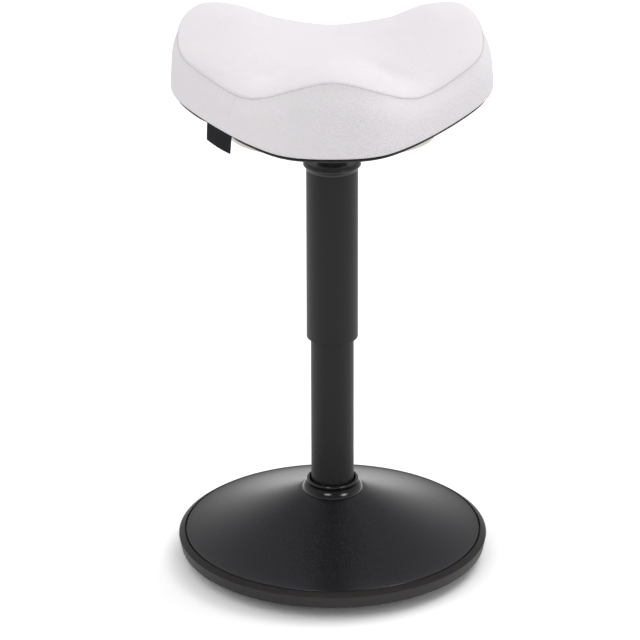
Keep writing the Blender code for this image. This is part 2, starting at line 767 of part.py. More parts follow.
def build_cover_tube(lift):
    tube = ring_points(cover_tube_bore, cover_tube_radius, COVER_TUBE_FOOT, cover_tube_top)
    turn("cover_tube", tube, TUBE_STEPS, satin_black_steel, lift)
    low = COVER_TUBE_FOOT + SLIDE_RING_INSET
    inner = OUTER_TUBE_RADIUS + GAP
    ring = ring_points(inner, inner + SLIDE_RING_WALL, low, low + SLIDE_RING_LENGTH)
    turn("slide_ring", ring, TUBE_STEPS, black_moulding, lift)


def build_column_cap(lift):
    low = cover_tube_top + GAP
    top = low + CAP_HEIGHT
    rim_inner = cover_tube_radius - COVER_TUBE_WALL * 2
    spigot = cover_tube_bore - GAP
    web_inner = CYLINDER_RADIUS + GAP
    boss = web_inner + CAP_BOSS_WALL
    middle = low + CAP_HEIGHT * 0.55
    points = arc(
        (cover_tube_radius - CAP_RIM / 4, middle),
        (CAP_BULGE + CAP_RIM / 4, CAP_HEIGHT * 0.45),
        100.0,
        -45.0,
        5,
    )
    points += [(cover_tube_radius, low), (spigot, low), (spigot, low - CAP_SPIGOT)]
    points += [(spigot - COVER_TUBE_WALL, low - CAP_SPIGOT), (spigot - COVER_TUBE_WALL, low), (web_inner, low)]
    points += [(web_inner, cover_tube_top + CAP_BOSS_HEIGHT), (boss, cover_tube_top + CAP_BOSS_HEIGHT)]
    points += [(boss, low + CAP_DISH), (rim_inner, low + CAP_DISH), (rim_inner + COVER_TUBE_WALL / 2, top - CAP_WEB / 2)]
    turn("column_cap", points, TUBE_STEPS, gloss_black, lift)


# Seat mechanism
def rounded_rectangle(half_width, half_depth, corner, count=3):
    points = []
    for quarter, (side, end) in enumerate(((1, 1), (-1, 1), (-1, -1), (1, -1))):
        centre = (side * (half_width - corner), end * (half_depth - corner))
        points += arc(centre, (corner, corner), quarter * 90.0, quarter * 90.0 + 90.0, count)
    return points


def bolt_places(height):
    return [Vector((x, y, height)) for x in (-bolt_x, bolt_x) for y in (-bolt_y, bolt_y)]


def build_mounting_plate(lift):
    outline = rounded_rectangle(PLATE_HALF_WIDTH, PLATE_HALF_DEPTH, PLATE_CORNER)
    mesh = flat_outline("mounting_plate", outline, PLATE_THICKNESS)
    mesh.transform(Matrix.Translation((0.0, 0.0, plate_low + PLATE_THICKNESS / 2)))
    plate = add_part("mounting_plate", mesh, zinc_steel, lift)
    combine(plate, seat_bolt_cutter("plate_bolt_holes", BOLT_RADIUS + HOLE_ROOM))


def seat_bolt_cutter(name, radius):
    reach = Vector((0.0, 0.0, PLATE_THICKNESS))
    rods = [
        (radius, place - reach, Vector((place.x, place.y, foam_low)) + reach)
        for place in bolt_places(plate_low)
    ]
    return rod_cutter(name, rods)


def lever_frame(height):
    """Axes of the lever's channel: local X along the lever, local Y across it, local Z up."""
    frame = Matrix.Identity(4)
    frame.col[0][0:3] = lever_way
    frame.col[1][0:3] = -lever_axis
    frame.col[3][0:3] = (0.0, 0.0, height)
    return frame


def build_lever_channel(lift):
    outer = channel_half + CHANNEL_WALL
    top = web_top + CHANNEL_DEPTH
    outline = [(-outer, web_low), (outer, web_low), (outer, top), (channel_half, top)]
    outline += [(channel_half, web_top), (-channel_half, web_top), (-channel_half, top), (-outer, top)]
    length = CHANNEL_INNER + CHANNEL_OUTER
    mesh = flat_outline("lever_channel", outline, length)
    stand_up = Matrix(((0.0, 0.0, 1.0, 0.0), (1.0, 0.0, 0.0, 0.0), (0.0, 1.0, 0.0, 0.0), (0.0, 0.0, 0.0, 1.0)))
    slide = Matrix.Translation(((CHANNEL_OUTER - CHANNEL_INNER) / 2, 0.0, 0.0))
    mesh.transform(lever_frame(0.0) @ slide @ stand_up)
    channel = add_part("lever_channel", mesh, zinc_steel, lift)
    reach = Vector((0.0, 0.0, CHANNEL_WALL))
    centre = Vector((0.0, 0.0, web_low))
    combine(channel, rod_cutter("channel_hub_hole", [(HUB_RADIUS + GAP, centre - reach, centre + 2 * reach)], TUBE_STEPS))
    half = lever_axis * (outer + CHANNEL_WALL)
    pin_hole = (LEVER_PIN_RADIUS + GAP, lever_pivot - half, lever_pivot + half)
    combine(channel, rod_cutter("channel_pin_hole", [pin_hole], SMALL_STEPS))


def build_taper_hub(lift):
    collar_top = web_low - GAP
    collar = HUB_RADIUS + HUB_COLLAR
    points = [(cylinder_taper(hub_top) + GAP, hub_top), (HUB_RADIUS, hub_top), (HUB_RADIUS, collar_top)]
    points += [(collar, collar_top), (collar, collar_top - HUB_COLLAR_HEIGHT), (HUB_NOSE_RADIUS, hub_foot)]
    points += [(cylinder_taper(hub_foot) + GAP, hub_foot), (cylinder_taper(cylinder_top) + GAP, cylinder_top)]
    turn("taper_hub", points, TUBE_STEPS, zinc_steel, lift)


def build_lever(lever, lift):
    curve = bpy.data.curves.new("release_lever", "CURVE")
    curve.dimensions = "3D"
    curve.bevel_depth = LEVER_RADIUS
    curve.bevel_resolution = 2
    curve.use_fill_caps = True
    spline = curve.splines.new("POLY")
    spline.points.add(1)
    start = lever_way * -LEVER_TIP
    end = lever_way * (PADDLE_START + PADDLE_SOCKET - HOLE_ROOM)
    for point, place in zip(spline.points, (start, end)):
        point.co = (place.x, place.y, lever_height, 1.0)
    holder = bpy.data.objects.new("release_lever", curve)
    parts.objects.link(holder)
    rod = add_part("release_lever", evaluated_mesh(holder), zinc_steel, lever)
    half = lever_axis * (channel_half - HOLE_ROOM)
    barrel = [(LEVER_BARREL, lever_pivot - half, lever_pivot + half)]
    combine(rod, rod_cutter("lever_barrel", barrel, SMALL_STEPS), "UNION")
    reach = lever_axis * (channel_half + CHANNEL_WALL)
    bore = [(LEVER_PIN_RADIUS + GAP, lever_pivot - reach, lever_pivot + reach)]
    combine(rod, rod_cutter("lever_bore", bore, SMALL_STEPS))
    pin_half = channel_half + CHANNEL_WALL + LEVER_PIN_PROUD
    form = bmesh.new()
    turn_to = lever_axis.to_track_quat("Z", "Y").to_matrix().to_4x4()
    bmesh.ops.create_cone(
        form,
        cap_ends=True,
        segments=SMALL_STEPS,
        radius1=LEVER_PIN_RADIUS,
        radius2=LEVER_PIN_RADIUS,
        depth=pin_half * 2,
        matrix=Matrix.Translation(lever_pivot) @ turn_to,
    )
    mesh = bpy.data.meshes.new("lever_pin")
    form.to_mesh(mesh)
    form.free()
    add_part("lever_pin", mesh, bright_steel, lift)


def build_paddle(lever):
    form = bmesh.new()
    bmesh.ops.create_cube(form, size=1.0)
    bmesh.ops.scale(form, verts=form.verts, vec=(PADDLE_LENGTH, PADDLE_WIDTH, PADDLE_THICKNESS))
    bmesh.ops.bevel(
        form,
        geom=form.edges,
        offset=PADDLE_EDGE,
        segments=2,
        profile=0.5,
        affect="EDGES",
        clamp_overlap=True,
    )
    mesh = bpy.data.meshes.new("lever_paddle")
    form.to_mesh(mesh)
    form.free()
    middle = Matrix.Translation((PADDLE_START + PADDLE_LENGTH / 2, 0.0, 0.0))
    mesh.transform(lever_frame(lever_height) @ middle)
    paddle = add_part("lever_paddle", mesh, black_moulding, lever)
    level = Vector((0.0, 0.0, lever_height))
    start = lever_way * (PADDLE_START - PADDLE_EDGE) + level
    end = lever_way * (PADDLE_START + PADDLE_SOCKET) + level
    combine(paddle, rod_cutter("paddle_socket", [(LEVER_RADIUS + GAP, start, end)], SMALL_STEPS))


def build_valve_pin(valve):
    top = cylinder_top + VALVE_PROUD
    bevel = VALVE_RADIUS / 4
    points = [(0.0, top), (VALVE_RADIUS - bevel, top), (VALVE_RADIUS, top - bevel)]
    points += [(VALVE_RADIUS, top - VALVE_LENGTH), (0.0, top - VALVE_LENGTH)]
    turn("valve_pin", points, SMALL_STEPS, bright_steel, valve)


# Seat: form shared by the cover, the foam, the board and the pan
def ease(share):
    share = min(max(share, 0.0), 1.0)
    return share * share * (3.0 - 2.0 * share)


def round_the_seat(angle, values):
    """A height at an angle from the front, on a smooth curve from pommel to thigh, ear, hip and back."""
    turned = abs(math.degrees(math.atan2(math.sin(angle), math.cos(angle))))
    stops = (0.0, THIGH_ANGLE, EAR_ANGLE, HIP_ANGLE, 180.0)
    grades = [(values[index + 1] - values[index]) / (stops[index + 1] - stops[index]) for index in range(4)]
    slopes = [0.0]
    for before, after in zip(grades, grades[1:]):
        slopes.append(2.0 * before * after / (before + after) if before * after > 0.0 else 0.0)
    slopes.append(0.0)
    index = min(sum(turned >= stop for stop in stops[1:]), 3)
    span = stops[index + 1] - stops[index]
    share = (turned - stops[index]) / span
    height = values[index] + (values[index + 1] - values[index]) * ease(share)
    height += span * slopes[index] * share * (1.0 - share) ** 2
    height -= span * slopes[index + 1] * share ** 2 * (1.0 - share)
    return height


def front_radius(turned):
    """The front of the plan: a round nose, slanting flanks and straight sides, with soft corners between."""
    sideways = math.sin(turned)
    side = sideways / SEAT_HALF_WIDTH
    flank = math.cos(turned - SLANT_ANGLE) / SLANT_REACH
    nose = math.hypot(sideways / NOSE_HALF_WIDTH, math.cos(turned) / SEAT_FRONT)
    return (side ** CORNER_POWER + flank ** CORNER_POWER + nose ** CORNER_POWER) ** (-1.0 / CORNER_POWER)


def plan_radius(angle):
    """The widest outline of the band in plan, slanting in front and a full ellipse behind."""
    forward = math.cos(angle)
    if forward > 0.0:
        return front_radius(math.atan2(abs(math.sin(angle)), forward))
    ellipse = 1.0 / math.hypot(math.sin(angle) / front_radius(math.pi / 2), forward / SEAT_BACK)
    return ellipse * (1.0 + BACK_SWELL * math.sin(2.0 * angle) ** 2)


def crest_waves():
    """The crest's height round the seat as its mean and its cosine waves."""
    samples = 180
    waves = [0.0] * (CREST_WAVES + 1)
    for index in range(samples):
        angle = math.pi * (index + 0.5) / samples
        height = round_the_seat(angle, (POMMEL_CREST, THIGH_CREST, EAR_CREST, HIP_CREST, BACK_CREST))
        for wave in range(CREST_WAVES + 1):
            waves[wave] += height * math.cos(wave * angle) * (2.0 if wave else 1.0) / samples
    return waves


def dish(angle, share):
    """Height inside the crest: each wave fades out towards the seat's centre, so no crease runs in."""
    waves = crest_waves()
    inwards = 1.0 - share * share
    height = VALLEY + (waves[0] - VALLEY) * (1.0 - inwards * inwards)
    for wave in range(1, CREST_WAVES + 1):
        height += waves[wave] * share ** wave * (1.0 + wave / 2 * inwards) * math.cos(wave * angle)
    return height


def rise(x):
    """How far the seat's underside climbs towards its sides, flat over the mounting plate."""
    share = (abs(x) - PLATE_HALF_WIDTH) / (SEAT_HALF_WIDTH - PLATE_HALF_WIDTH)
    return SIDE_RISE * max(share, 0.0) ** 2


def bottom_radius(angle):
    return plan_radius(angle) - BOTTOM_INSET


def seat_profile(angle):
    """Radius and height of the cover from the seat's centre over the seam to the lower edge."""
    widest = plan_radius(angle)
    sideways = abs(math.sin(angle))
    seam_radius = widest - SEAM_INSET_FRONT - (SEAM_INSET_SIDE - SEAM_INSET_FRONT) * sideways
    low_radius = bottom_radius(angle)
    low = rise(low_radius * math.sin(angle))
    seam = round_the_seat(angle, (POMMEL_SEAM, THIGH_SEAM, EAR_SEAM, HIP_SEAM, BACK_SEAM))
    crest = dish(angle, 1.0)
    points = []
    for share in TOP_STATIONS:
        if share <= CREST_SHARE:
            height = dish(angle, share / CREST_SHARE)
        else:
            out = math.sin(ROLL_TURN) * (share - CREST_SHARE) / (1.0 - CREST_SHARE)
            drop = (1.0 - math.cos(math.asin(out))) / (1.0 - math.cos(ROLL_TURN))
            height = crest - (crest - seam) * drop
        points.append((seam_radius * share, seat_bottom + height))
    for share in BAND_STATIONS:
        bulge = 1.0 - abs(2.0 * share ** BELLY_OF_BAND - 1.0) ** 3
        radius = seam_radius + (low_radius - seam_radius) * share
        radius += bulge * (widest - (seam_radius + low_radius) / 2)
        points.append((radius, seat_bottom + seam + (low - seam) * share))
    return points


def inset_profile(points, depth):
    """The profile moved inwards by a depth, with mitred corners."""
    normals = []
    for (r0, z0), (r1, z1) in zip(points, points[1:]):
        length = math.hypot(r1 - r0, z1 - z0)
        normals.append(((z1 - z0) / length, -(r1 - r0) / length))
    moved = [(0.0, points[0][1] - depth)]
    for index in range(1, len(points)):
        before = normals[index - 1]
        after = normals[min(index, len(normals) - 1)]
        stretch = 1.0 + before[0] * after[0] + before[1] * after[1]
        moved.append((
            points[index][0] + depth * (before[0] + after[0]) / stretch,
            points[index][1] + depth * (before[1] + after[1]) / stretch,
        ))
    return moved


def seat_angles():
    return [2.0 * math.pi * index / SEAT_SIDES for index in range(SEAT_SIDES)]


def seat_point(angle, radius, height):
    return (radius * math.sin(angle), -radius * math.cos(angle), height)


def seat_rings(profiles, first, last):
    """Rings of points round the seat, one for each profile station from first to last."""
    rings = []
    for station in range(first, last + 1):
        if station == 0:
            rings.append([(0.0, 0.0, profiles[0][0][1])])
        else:
            rings.append([
                seat_point(angle, *profile[station])
                for angle, profile in zip(seat_angles(), profiles)
            ])
    return rings


def build_top_panel(lift):
    seam = len(TOP_STATIONS) - 1
    outside = [seat_profile(angle) for angle in seat_angles()]
    inside = [inset_profile(profile, FABRIC) for profile in outside]
    rings = seat_rings(outside, 0, seam) + seat_rings(inside, 0, seam)[::-1]
    skin("top_panel", rings, fabric, lift)


def below_seam(profile, inner):
    """The sewn edge of the band, one gap below the top panel's edge."""
    seam = len(TOP_STATIONS) - 1
    (r0, z0), (r1, z1) = profile[seam], profile[seam + 1]
    length = math.hypot(r1 - r0, z1 - z0)
    return (inner[seam][0] + GAP * (r1 - r0) / length, inner[seam][1] + GAP * (z1 - z0) / length)


def build_side_band(lift):
    seam = len(TOP_STATIONS) - 1
    last = seam + len(BAND_STATIONS)
    outside = []
    inside = []
    for angle in seat_angles():
        outer = seat_profile(angle)
        inner = inset_profile(outer, FABRIC)
        edges = (below_seam(outer, outer), below_seam(outer, inner))
        outer[seam] = edges[0]
        inner[seam] = edges[1]
        fold_radius = bottom_radius(angle) - FABRIC
        fold_height = seat_bottom + rise(fold_radius * math.sin(angle))
        inner[last] = (fold_radius, fold_height + FABRIC)
        hem_radius = bottom_radius(angle) - HEM
        hem_height = seat_bottom + rise(hem_radius * math.sin(angle))
        outside.append(outer + [(hem_radius, hem_height)])
        inside.append(inner + [(hem_radius, hem_height + FABRIC)])
    rings = seat_rings(outside, seam, last + 1) + seat_rings(inside, seam, last + 1)[::-1]
    skin("side_band", rings, fabric, lift, "loop")


def radius_at(points, angle, floor):
    """Radius where a profile's band comes down to a floor that follows the seat's rise."""
    for (r0, z0), (r1, z1) in zip(points, points[1:]):
        above = z0 - floor - rise(r0 * math.sin(angle))
        below = z1 - floor - rise(r1 * math.sin(angle))
        if above >= 0.0 >= below:
            return r0 + (r1 - r0) * above / (above - below)
    return points[-1][0]


def build_foam(lift):
    seam = len(TOP_STATIONS) - 1
    profiles = []
    for angle in seat_angles():
        inner = inset_profile(seat_profile(angle), FABRIC + FOAM_ROOM)
        band = inner[seam:]
        edge = radius_at(band, angle, foam_low)
        edge_height = foam_low + rise(edge * math.sin(angle))
        profile = inner[:seam + 1]
        for share in (0.3, 0.65):
            height = inner[seam][1] + (edge_height - inner[seam][1]) * share
            level = height - rise(edge * math.sin(angle))
            profile.append((radius_at(band, angle, level), height))
        for radius in under_radii(angle, edge)[::-1]:
            profile.append((radius, foam_low + rise(radius * math.sin(angle))))
        profiles.append(profile)
    rings = seat_rings(profiles, 0, len(profiles[0]) - 1)
    rings.append([(0.0, 0.0, foam_low)])
    skin("foam_core", rings, foam, lift)


def under_radii(angle, outer):
    """Radii where the seat's underside bends: twice over the belly cover, at the hem and at an edge."""
    belly = belly_radius(angle)
    return (belly / 2, belly, bottom_radius(angle) - HEM, outer)


def build_sheet(name, low, high, inset, material, lift):
    """A board or pan under the seat: one thickness, following the seat's rise."""
    rings = [[(0.0, 0.0, high)]]
    for level, order in ((high, range(4)), (low, reversed(range(4)))):
        for station in order:
            ring = []
            for angle in seat_angles():
                radius = under_radii(angle, bottom_radius(angle) - inset)[station]
                ring.append(seat_point(angle, radius, level + rise(radius * math.sin(angle))))
            rings.append(ring)
    rings.append([(0.0, 0.0, low)])
    return skin(name, rings, material, lift)


def pan_screw_places(height):
    places = []
    for angle in (PAN_SCREW_ANGLE, -PAN_SCREW_ANGLE, math.pi - PAN_SCREW_ANGLE, math.pi + PAN_SCREW_ANGLE):
        places.append(Vector(seat_point(angle, bottom_radius(angle) * PAN_SCREW_SHARE, height)))
    return places


def pan_screw_cutter(name, radius, top):
    reach = Vector((0.0, 0.0, PAN_THICKNESS))
    rods = [(radius, place - reach, Vector((place.x, place.y, top))) for place in pan_screw_places(pan_low)]
    return rod_cutter(name, rods)


def build_seat_board(lift):
    board = build_sheet("seat_board", board_low, board_top, FABRIC + BOARD_ROOM, plywood, lift)
    nut_radius = BOLT_RADIUS + PIN_ROOM + NUT_WALL
    combine(board, seat_bolt_cutter("board_nut_holes", nut_radius + PIN_ROOM))
    seats = []
    for place in bolt_places(board_top):
        depth = Vector((0.0, 0.0, NUT_FLANGE_THICKNESS + GAP))
        seats.append((NUT_FLANGE + GAP, place - depth, place + depth))
    combine(board, rod_cutter("board_nut_seats", seats))
    top = board_low + PAN_SCREW_BITE
    combine(board, pan_screw_cutter("board_pilots", PAN_SCREW_RADIUS + PIN_ROOM, top))


def build_under_pan(lift):
    pan = build_sheet("under_pan", pan_low, pan_top, PAN_INSET, black_moulding, lift)
    combine(pan, seat_bolt_cutter("pan_bolt_holes", BOLT_RADIUS + HOLE_ROOM))
    combine(pan, pan_screw_cutter("pan_screw_holes", PAN_SCREW_RADIUS + HOLE_ROOM, seat_bottom + PAN_THICKNESS))


def build_seat_fasteners(lift):
    bore = BOLT_RADIUS + PIN_ROOM
    flange_low = -NUT_FLANGE_THICKNESS
    nut = [(bore, 0.0), (NUT_FLANGE, 0.0), (NUT_FLANGE, flange_low), (bore + NUT_WALL, flange_low)]
    nut += [(bore + NUT_WALL, -NUT_DEPTH), (bore, -NUT_DEPTH)]
    turned_copies("tee_nut", nut, SCREW_STEPS, bolt_places(board_top), zinc_steel, lift)
    head_face = plate_low - GAP
    length = board_top - HOLE_ROOM - head_face
    bolt = screw_profile(BOLT_RADIUS, BOLT_HEAD, BOLT_HEAD_HEIGHT, length, False)
    turned_copies("seat_bolt", bolt, SCREW_STEPS, bolt_places(head_face), zinc_steel, lift)
    pan_face = pan_low - GAP
    bite = board_low + PAN_SCREW_BITE - HOLE_ROOM - pan_face
    screw = screw_profile(PAN_SCREW_RADIUS, PAN_SCREW_HEAD, PAN_SCREW_HEAD_HEIGHT, bite, False)
    turned_copies("pan_screw", screw, SCREW_STEPS, pan_screw_places(pan_face), zinc_steel, lift)


def belly_radius(angle):
    ellipse = 1.0 / math.hypot(math.sin(angle) / BELLY_HALF_WIDTH, math.cos(angle) / BELLY_HALF_DEPTH)
    return ellipse * (1.0 + BELLY_SWELL * math.sin(2.0 * angle) ** 2)


def belly_profile(angle, wall):
    """Radius and height down the belly cover's side and round its lower edge, one wall in."""
    outer = belly_radius(angle)
    top = pan_low - GAP + rise(outer * math.sin(angle))
    low = pan_low - GAP - BELLY_DEPTH
    corner = (outer - BELLY_ROUND, low + BELLY_ROUND)
    points = [(outer - wall, top)]
    points += arc(corner, (BELLY_ROUND - wall, BELLY_ROUND - wall), 0.0, -90.0, 3)
    points.append((HUB_RADIUS + HUB_COLLAR + BELLY_HOLE_ROOM, low + wall))
    return points


def build_belly_cover(lift):
    outside = [belly_profile(angle, 0.0) for angle in seat_angles()]
    inside = [belly_profile(angle, BELLY_WALL) for angle in seat_angles()]
    rings = []
    for station in range(len(outside[0])):
        rings.append([seat_point(angle, *profile[station]) for angle, profile in zip(seat_angles(), outside)])
    for station in reversed(range(len(inside[0]))):
        rings.append([seat_point(angle, *profile[station]) for angle, profile in zip(seat_angles(), inside)])
    belly = skin("belly_cover", rings, cream_moulding, lift, "loop")
    room = LEVER_RADIUS + HOLE_ROOM * 3
    reach = belly_radius(math.pi / 2 + LEVER_ANGLE)
    low = lever_height - room
    high = seat_bottom + SIDE_RISE
    form = bmesh.new()
    bmesh.ops.create_cube(form, size=1.0)
    bmesh.ops.scale(form, verts=form.verts, vec=(BELLY_ROUND * 4, room * 2, high - low))
    mesh = bpy.data.meshes.new("belly_lever_notch")
    form.to_mesh(mesh)
    form.free()
    mesh.transform(lever_frame((low + high) / 2) @ Matrix.Translation((reach, 0.0, 0.0)))
    combine(belly, add_cutter("belly_lever_notch", mesh))


def build_label_tab(lift):
    sections = []
    for index in range(5):
        angle = -(TAB_START + (TAB_END - TAB_START) * index / 4)
        outer = bottom_radius(angle) - TAB_SETBACK
        inner = outer - TAB_THICKNESS
        top = pan_top + rise(inner * math.sin(angle))
        low = top - TAB_DROP
        section = [seat_point(angle, radius, height) for radius, height in ring_points(inner, outer, low, top)]
        sections.append(section)
    skin("label_tab", sections, black_fabric, lift, "caps")


# Assembly
clear_scene()
parts = new_collection(OBJECT_NAME)
cutters = new_collection("cutters")
fabric = make_material("off_white_woven_fabric", (0.80, 0.78, 0.79), 0.85)
black_fabric = make_material("black_woven_tape", (0.020, 0.019, 0.022), 0.80)
foam = make_material("moulded_foam", (0.72, 0.68, 0.55), 0.90)
plywood = make_material("birch_plywood", (0.60, 0.45, 0.27), 0.60)
black_moulding = make_material("black_polypropylene", (0.018, 0.018, 0.020), 0.55)
cream_moulding = make_material("off_white_polypropylene", (0.74, 0.71, 0.67), 0.45)
satin_black = make_material("satin_black_abs", (0.020, 0.021, 0.024), 0.42)
gloss_black = make_material("gloss_black_nylon", (0.012, 0.012, 0.013), 0.18)
satin_black_steel = make_material("black_powder_coated_steel", (0.026, 0.026, 0.027), 0.48)
rubber = make_material("black_rubber", (0.022, 0.020, 0.019), 0.65)
cast_iron = make_material("cast_iron", (0.11, 0.11, 0.11), 0.70, 1.0)
zinc_steel = make_material("zinc_plated_steel", (0.62, 0.61, 0.58), 0.35, 1.0)
bright_steel = make_material("ground_steel", (0.65, 0.65, 0.66), 0.18, 1.0)
brass = make_material("sintered_brass", (0.62, 0.47, 0.22), 0.40, 1.0)

swivel_axis = add_axis("swivel_axis", (0.0, 0.0, outer_tube_foot))
lift_axis = add_axis("lift_axis", (0.0, 0.0, cylinder_foot))
lever_hinge = add_axis("lever_hinge", lever_pivot)
valve_axis = add_axis("valve_axis", (0.0, 0.0, cylinder_top))

build_floor_pad()
build_rocker_tray()
build_rim_ring()
build_cone_cover()
build_base_screws()
build_base_collar()
build_hub_socket()
build_ballast()
build_socket_bolts()
build_outer_tube()
build_guide_bush()
build_bearing(swivel_axis)
build_rod(swivel_axis)
build_cylinder(lift_axis)
build_cover_tube(lift_axis)
build_column_cap(lift_axis)
build_mounting_plate(lift_axis)
build_lever_channel(lift_axis)
build_taper_hub(lift_axis)
build_lever(lever_hinge, lift_axis)
build_paddle(lever_hinge)
build_valve_pin(valve_axis)
build_belly_cover(lift_axis)
build_under_pan(lift_axis)
build_seat_board(lift_axis)
build_seat_fasteners(lift_axis)
build_foam(lift_axis)
build_top_panel(lift_axis)
build_side_band(lift_axis)
build_label_tab(lift_axis)
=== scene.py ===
"""Looks of the saddle wobble stool.

An off-white upholstered saddle on a black telescoping column and a weighted, rocking base.
Metres, +Z up, floor at Z = 0, the column on the Z axis, the seat's front towards -Y.
"""

import math

import bmesh
import bpy
import numpy as np
from mathutils import Matrix, Quaternion, Vector
from mathutils.kdtree import KDTree


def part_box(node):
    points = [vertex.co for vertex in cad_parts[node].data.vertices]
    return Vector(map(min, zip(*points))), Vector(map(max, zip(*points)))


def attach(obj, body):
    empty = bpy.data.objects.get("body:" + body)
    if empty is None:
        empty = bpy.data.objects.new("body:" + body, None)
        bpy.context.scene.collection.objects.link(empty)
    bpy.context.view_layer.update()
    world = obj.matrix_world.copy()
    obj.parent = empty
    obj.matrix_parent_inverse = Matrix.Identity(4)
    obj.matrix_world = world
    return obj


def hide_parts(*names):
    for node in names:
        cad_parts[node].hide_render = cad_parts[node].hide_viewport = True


bl_info = {
    "name": "Saddle wobble stool",
    "version": (1, 0, 0),
    "blender": (4, 5, 0),
    "location": "View3D > Sidebar > Stool",
    "description": "Dresses the stool's frame with its cushion, shells, finishes and studio",
    "category": "Object",
}

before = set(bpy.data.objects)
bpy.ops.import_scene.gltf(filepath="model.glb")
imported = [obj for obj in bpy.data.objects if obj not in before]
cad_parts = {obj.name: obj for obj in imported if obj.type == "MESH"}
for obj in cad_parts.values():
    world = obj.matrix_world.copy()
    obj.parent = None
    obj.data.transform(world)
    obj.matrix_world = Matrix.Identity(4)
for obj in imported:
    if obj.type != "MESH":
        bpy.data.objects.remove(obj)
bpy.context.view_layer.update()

# Seat: angles from its front, in degrees: pommel, thigh, ear, hip and back
STOPS = np.array((0.0, 46.0, 115.5, 140.0, 180.0))
# Where the crest lies from the centre to the seam, its waves, and how far the edge rolls over from it
CREST_SHARE = 0.73
CREST_WAVES = 8
ROLL_TURN = math.radians(74.0)
# The left ear: its middle and spread round the seat, its start above the underside and its growth
EAR_ANGLE, EAR_SPREAD = math.radians(-103.0), math.radians(30.0)
EAR_START, EAR_GROWTH = 0.052, 0.040
# Stations from the seam towards the seat's centre, and down the band, in metres
NEAR_TOP = np.array((0, 0.4, 0.8, 1.2, 1.7, 2.3, 3.0, 3.8, 4.8, 6.0, 7.5, 9.5, 12.0, 15.0, 19.0)) / 1000
NEAR_BAND = np.array((0.4, 0.8, 1.2, 1.7, 2.3, 3.0, 3.8, 4.8, 6.0, 8.0)) / 1000
TOP_SHARES = np.linspace(1.0, 0.0, 26)[1:]
BAND_SHARES = np.linspace(0.0, 1.0, 18)[1:]
# Reach over which the cover's direction is averaged
NORMAL_REACH = 0.003
# Run over which the top panel's slack grows from the seam, and the band's share of it
SLACK_RUN, BAND_SLACK = 0.045, 0.6
# Seam: half widths of its groove and of the roll beside it, and the roll's distance from it
GROOVE_WIDTH, ROLL_WIDTH, ROLL_PLACE = 0.0007, 0.0019, 0.0034
# The band's two ends are sewn together left of the front: angle in degrees, depth, half width and run
JOIN_ANGLE = -49.0
JOIN_DEPTH, JOIN_WIDTH, JOIN_RUN = 0.0009, 0.0009, 0.045
# Painted shade of the folded edges in the seam and in the join, darkening the cloth's colour: strength, half
# width and run
SEAM_PAINTED_SHADE_WIDTH = 0.0005
JOIN_PAINTED_SHADE, JOIN_PAINTED_SHADE_WIDTH, JOIN_PAINTED_SHADE_RUN = 1.4, 0.0007, 0.030
# Gathers fade out this close to the seam
PUCKER_CLEAR = 0.002
# Puckers: angle and distance above the seam, tilt, half length, half width and height (degrees, mm)
PUCKERS = (
    (-23.5, 8.0, 84, 7.0, 1.5, 0.40),
    (-21.2, 7.0, 88, 6.5, 1.4, 0.55),
    (-19.0, 8.0, 90, 7.0, 1.5, 0.60),
    (-16.6, 7.5, 93, 7.5, 1.5, 0.55),
    (-14.3, 7.0, 96, 6.5, 1.5, 0.45),
    (-12.0, 7.0, 99, 6.0, 1.6, 0.35),
    (-6.0, -8.0, 90, 7.0, 1.7, 0.25),
    (-3.0, -9.0, 90, 8.0, 1.7, 0.30),
    (1.0, -8.0, 90, 7.0, 1.7, 0.22),
    (14.0, 7.0, 86, 6.0, 1.6, 0.30),
    (17.5, 7.5, 84, 6.5, 1.6, 0.35),
    (21.0, 7.0, 82, 6.0, 1.6, 0.30),
    (25.5, 10.0, 60, 9.0, 2.0, 0.16),
    (-61.0, 20.0, 30, 16.0, 3.2, 0.60),
    (-66.0, 14.0, 24, 14.0, 2.8, 0.45),
    (58.0, 18.0, -28, 15.0, 3.0, 0.40),
)
# Cloth run that lets the foam fill the cover
CLOTH_VOXEL = 0.005
CLOTH_STEPS = 20
CLOTH = {
    "quality": 5,
    "mass": 0.25,
    "tension_stiffness": 20.0,
    "compression_stiffness": 20.0,
    "shear_stiffness": 10.0,
    "bending_stiffness": 1.0,
    "use_pressure": True,
    "uniform_pressure_force": 4.0,
}
# What stays put in it, beside the seam and above the underside, and the run over which the rest sets in
SEWN_WIDTH, TUCKED_HEIGHT, SETTLE_RUN = 0.005, 0.006, 0.010
# Rounding of the hem's fold, and room between the cover and the seat board
HEM_ROUND, HEM_ROOM = 0.0006, 0.0004
# How far the thread's middle lies above the bottom of the seam, in thread radii
THREAD_PROUD = 1.2

# Radians that a wave texture of scale 1 turns in a metre, by the direction of its bands
WAVE_TURNS = {"DIAGONAL": 10.0 * math.sqrt(2.0), "Y": 20.0, "Z": 20.0}

# Base: the rocker's underside, from where it leaves the pad to the ring
ROCKER_START, ROCKER_END = 0.090, 0.1832
ROCKER_LOW, ROCKER_HIGH = 0.0012, 0.014
# Tray and ring meet in a bead; the cone stands on the ring
TRAY_INSIDE, TRAY_OUTSIDE, TRAY_TOP, TRAY_WALL = 0.1652, 0.1677, 0.0284, 0.003
RING_INSIDE, RING_SHOULDER, RING_LEDGE, CONE_FOOT = 0.168, 0.1789, 0.0287, 0.0332
BEAD_ROWS = ((0.0, 0.0027), (0.003, 0.0015), (0.003, -0.0015), (0.0, -0.0027))

# Stage: lamps with their spread in degrees and the side that they shine from
LAMPS = (
    ("key", 40.0, (0.48, 0.42, 1.0)),
    ("top", 120.0, (-0.55, 0.35, 1.0)),
    ("fill", 70.0, (-0.1, -1.0, 0.2)),
    ("side", 40.0, (1.0, 0.0, 0.14)),
)
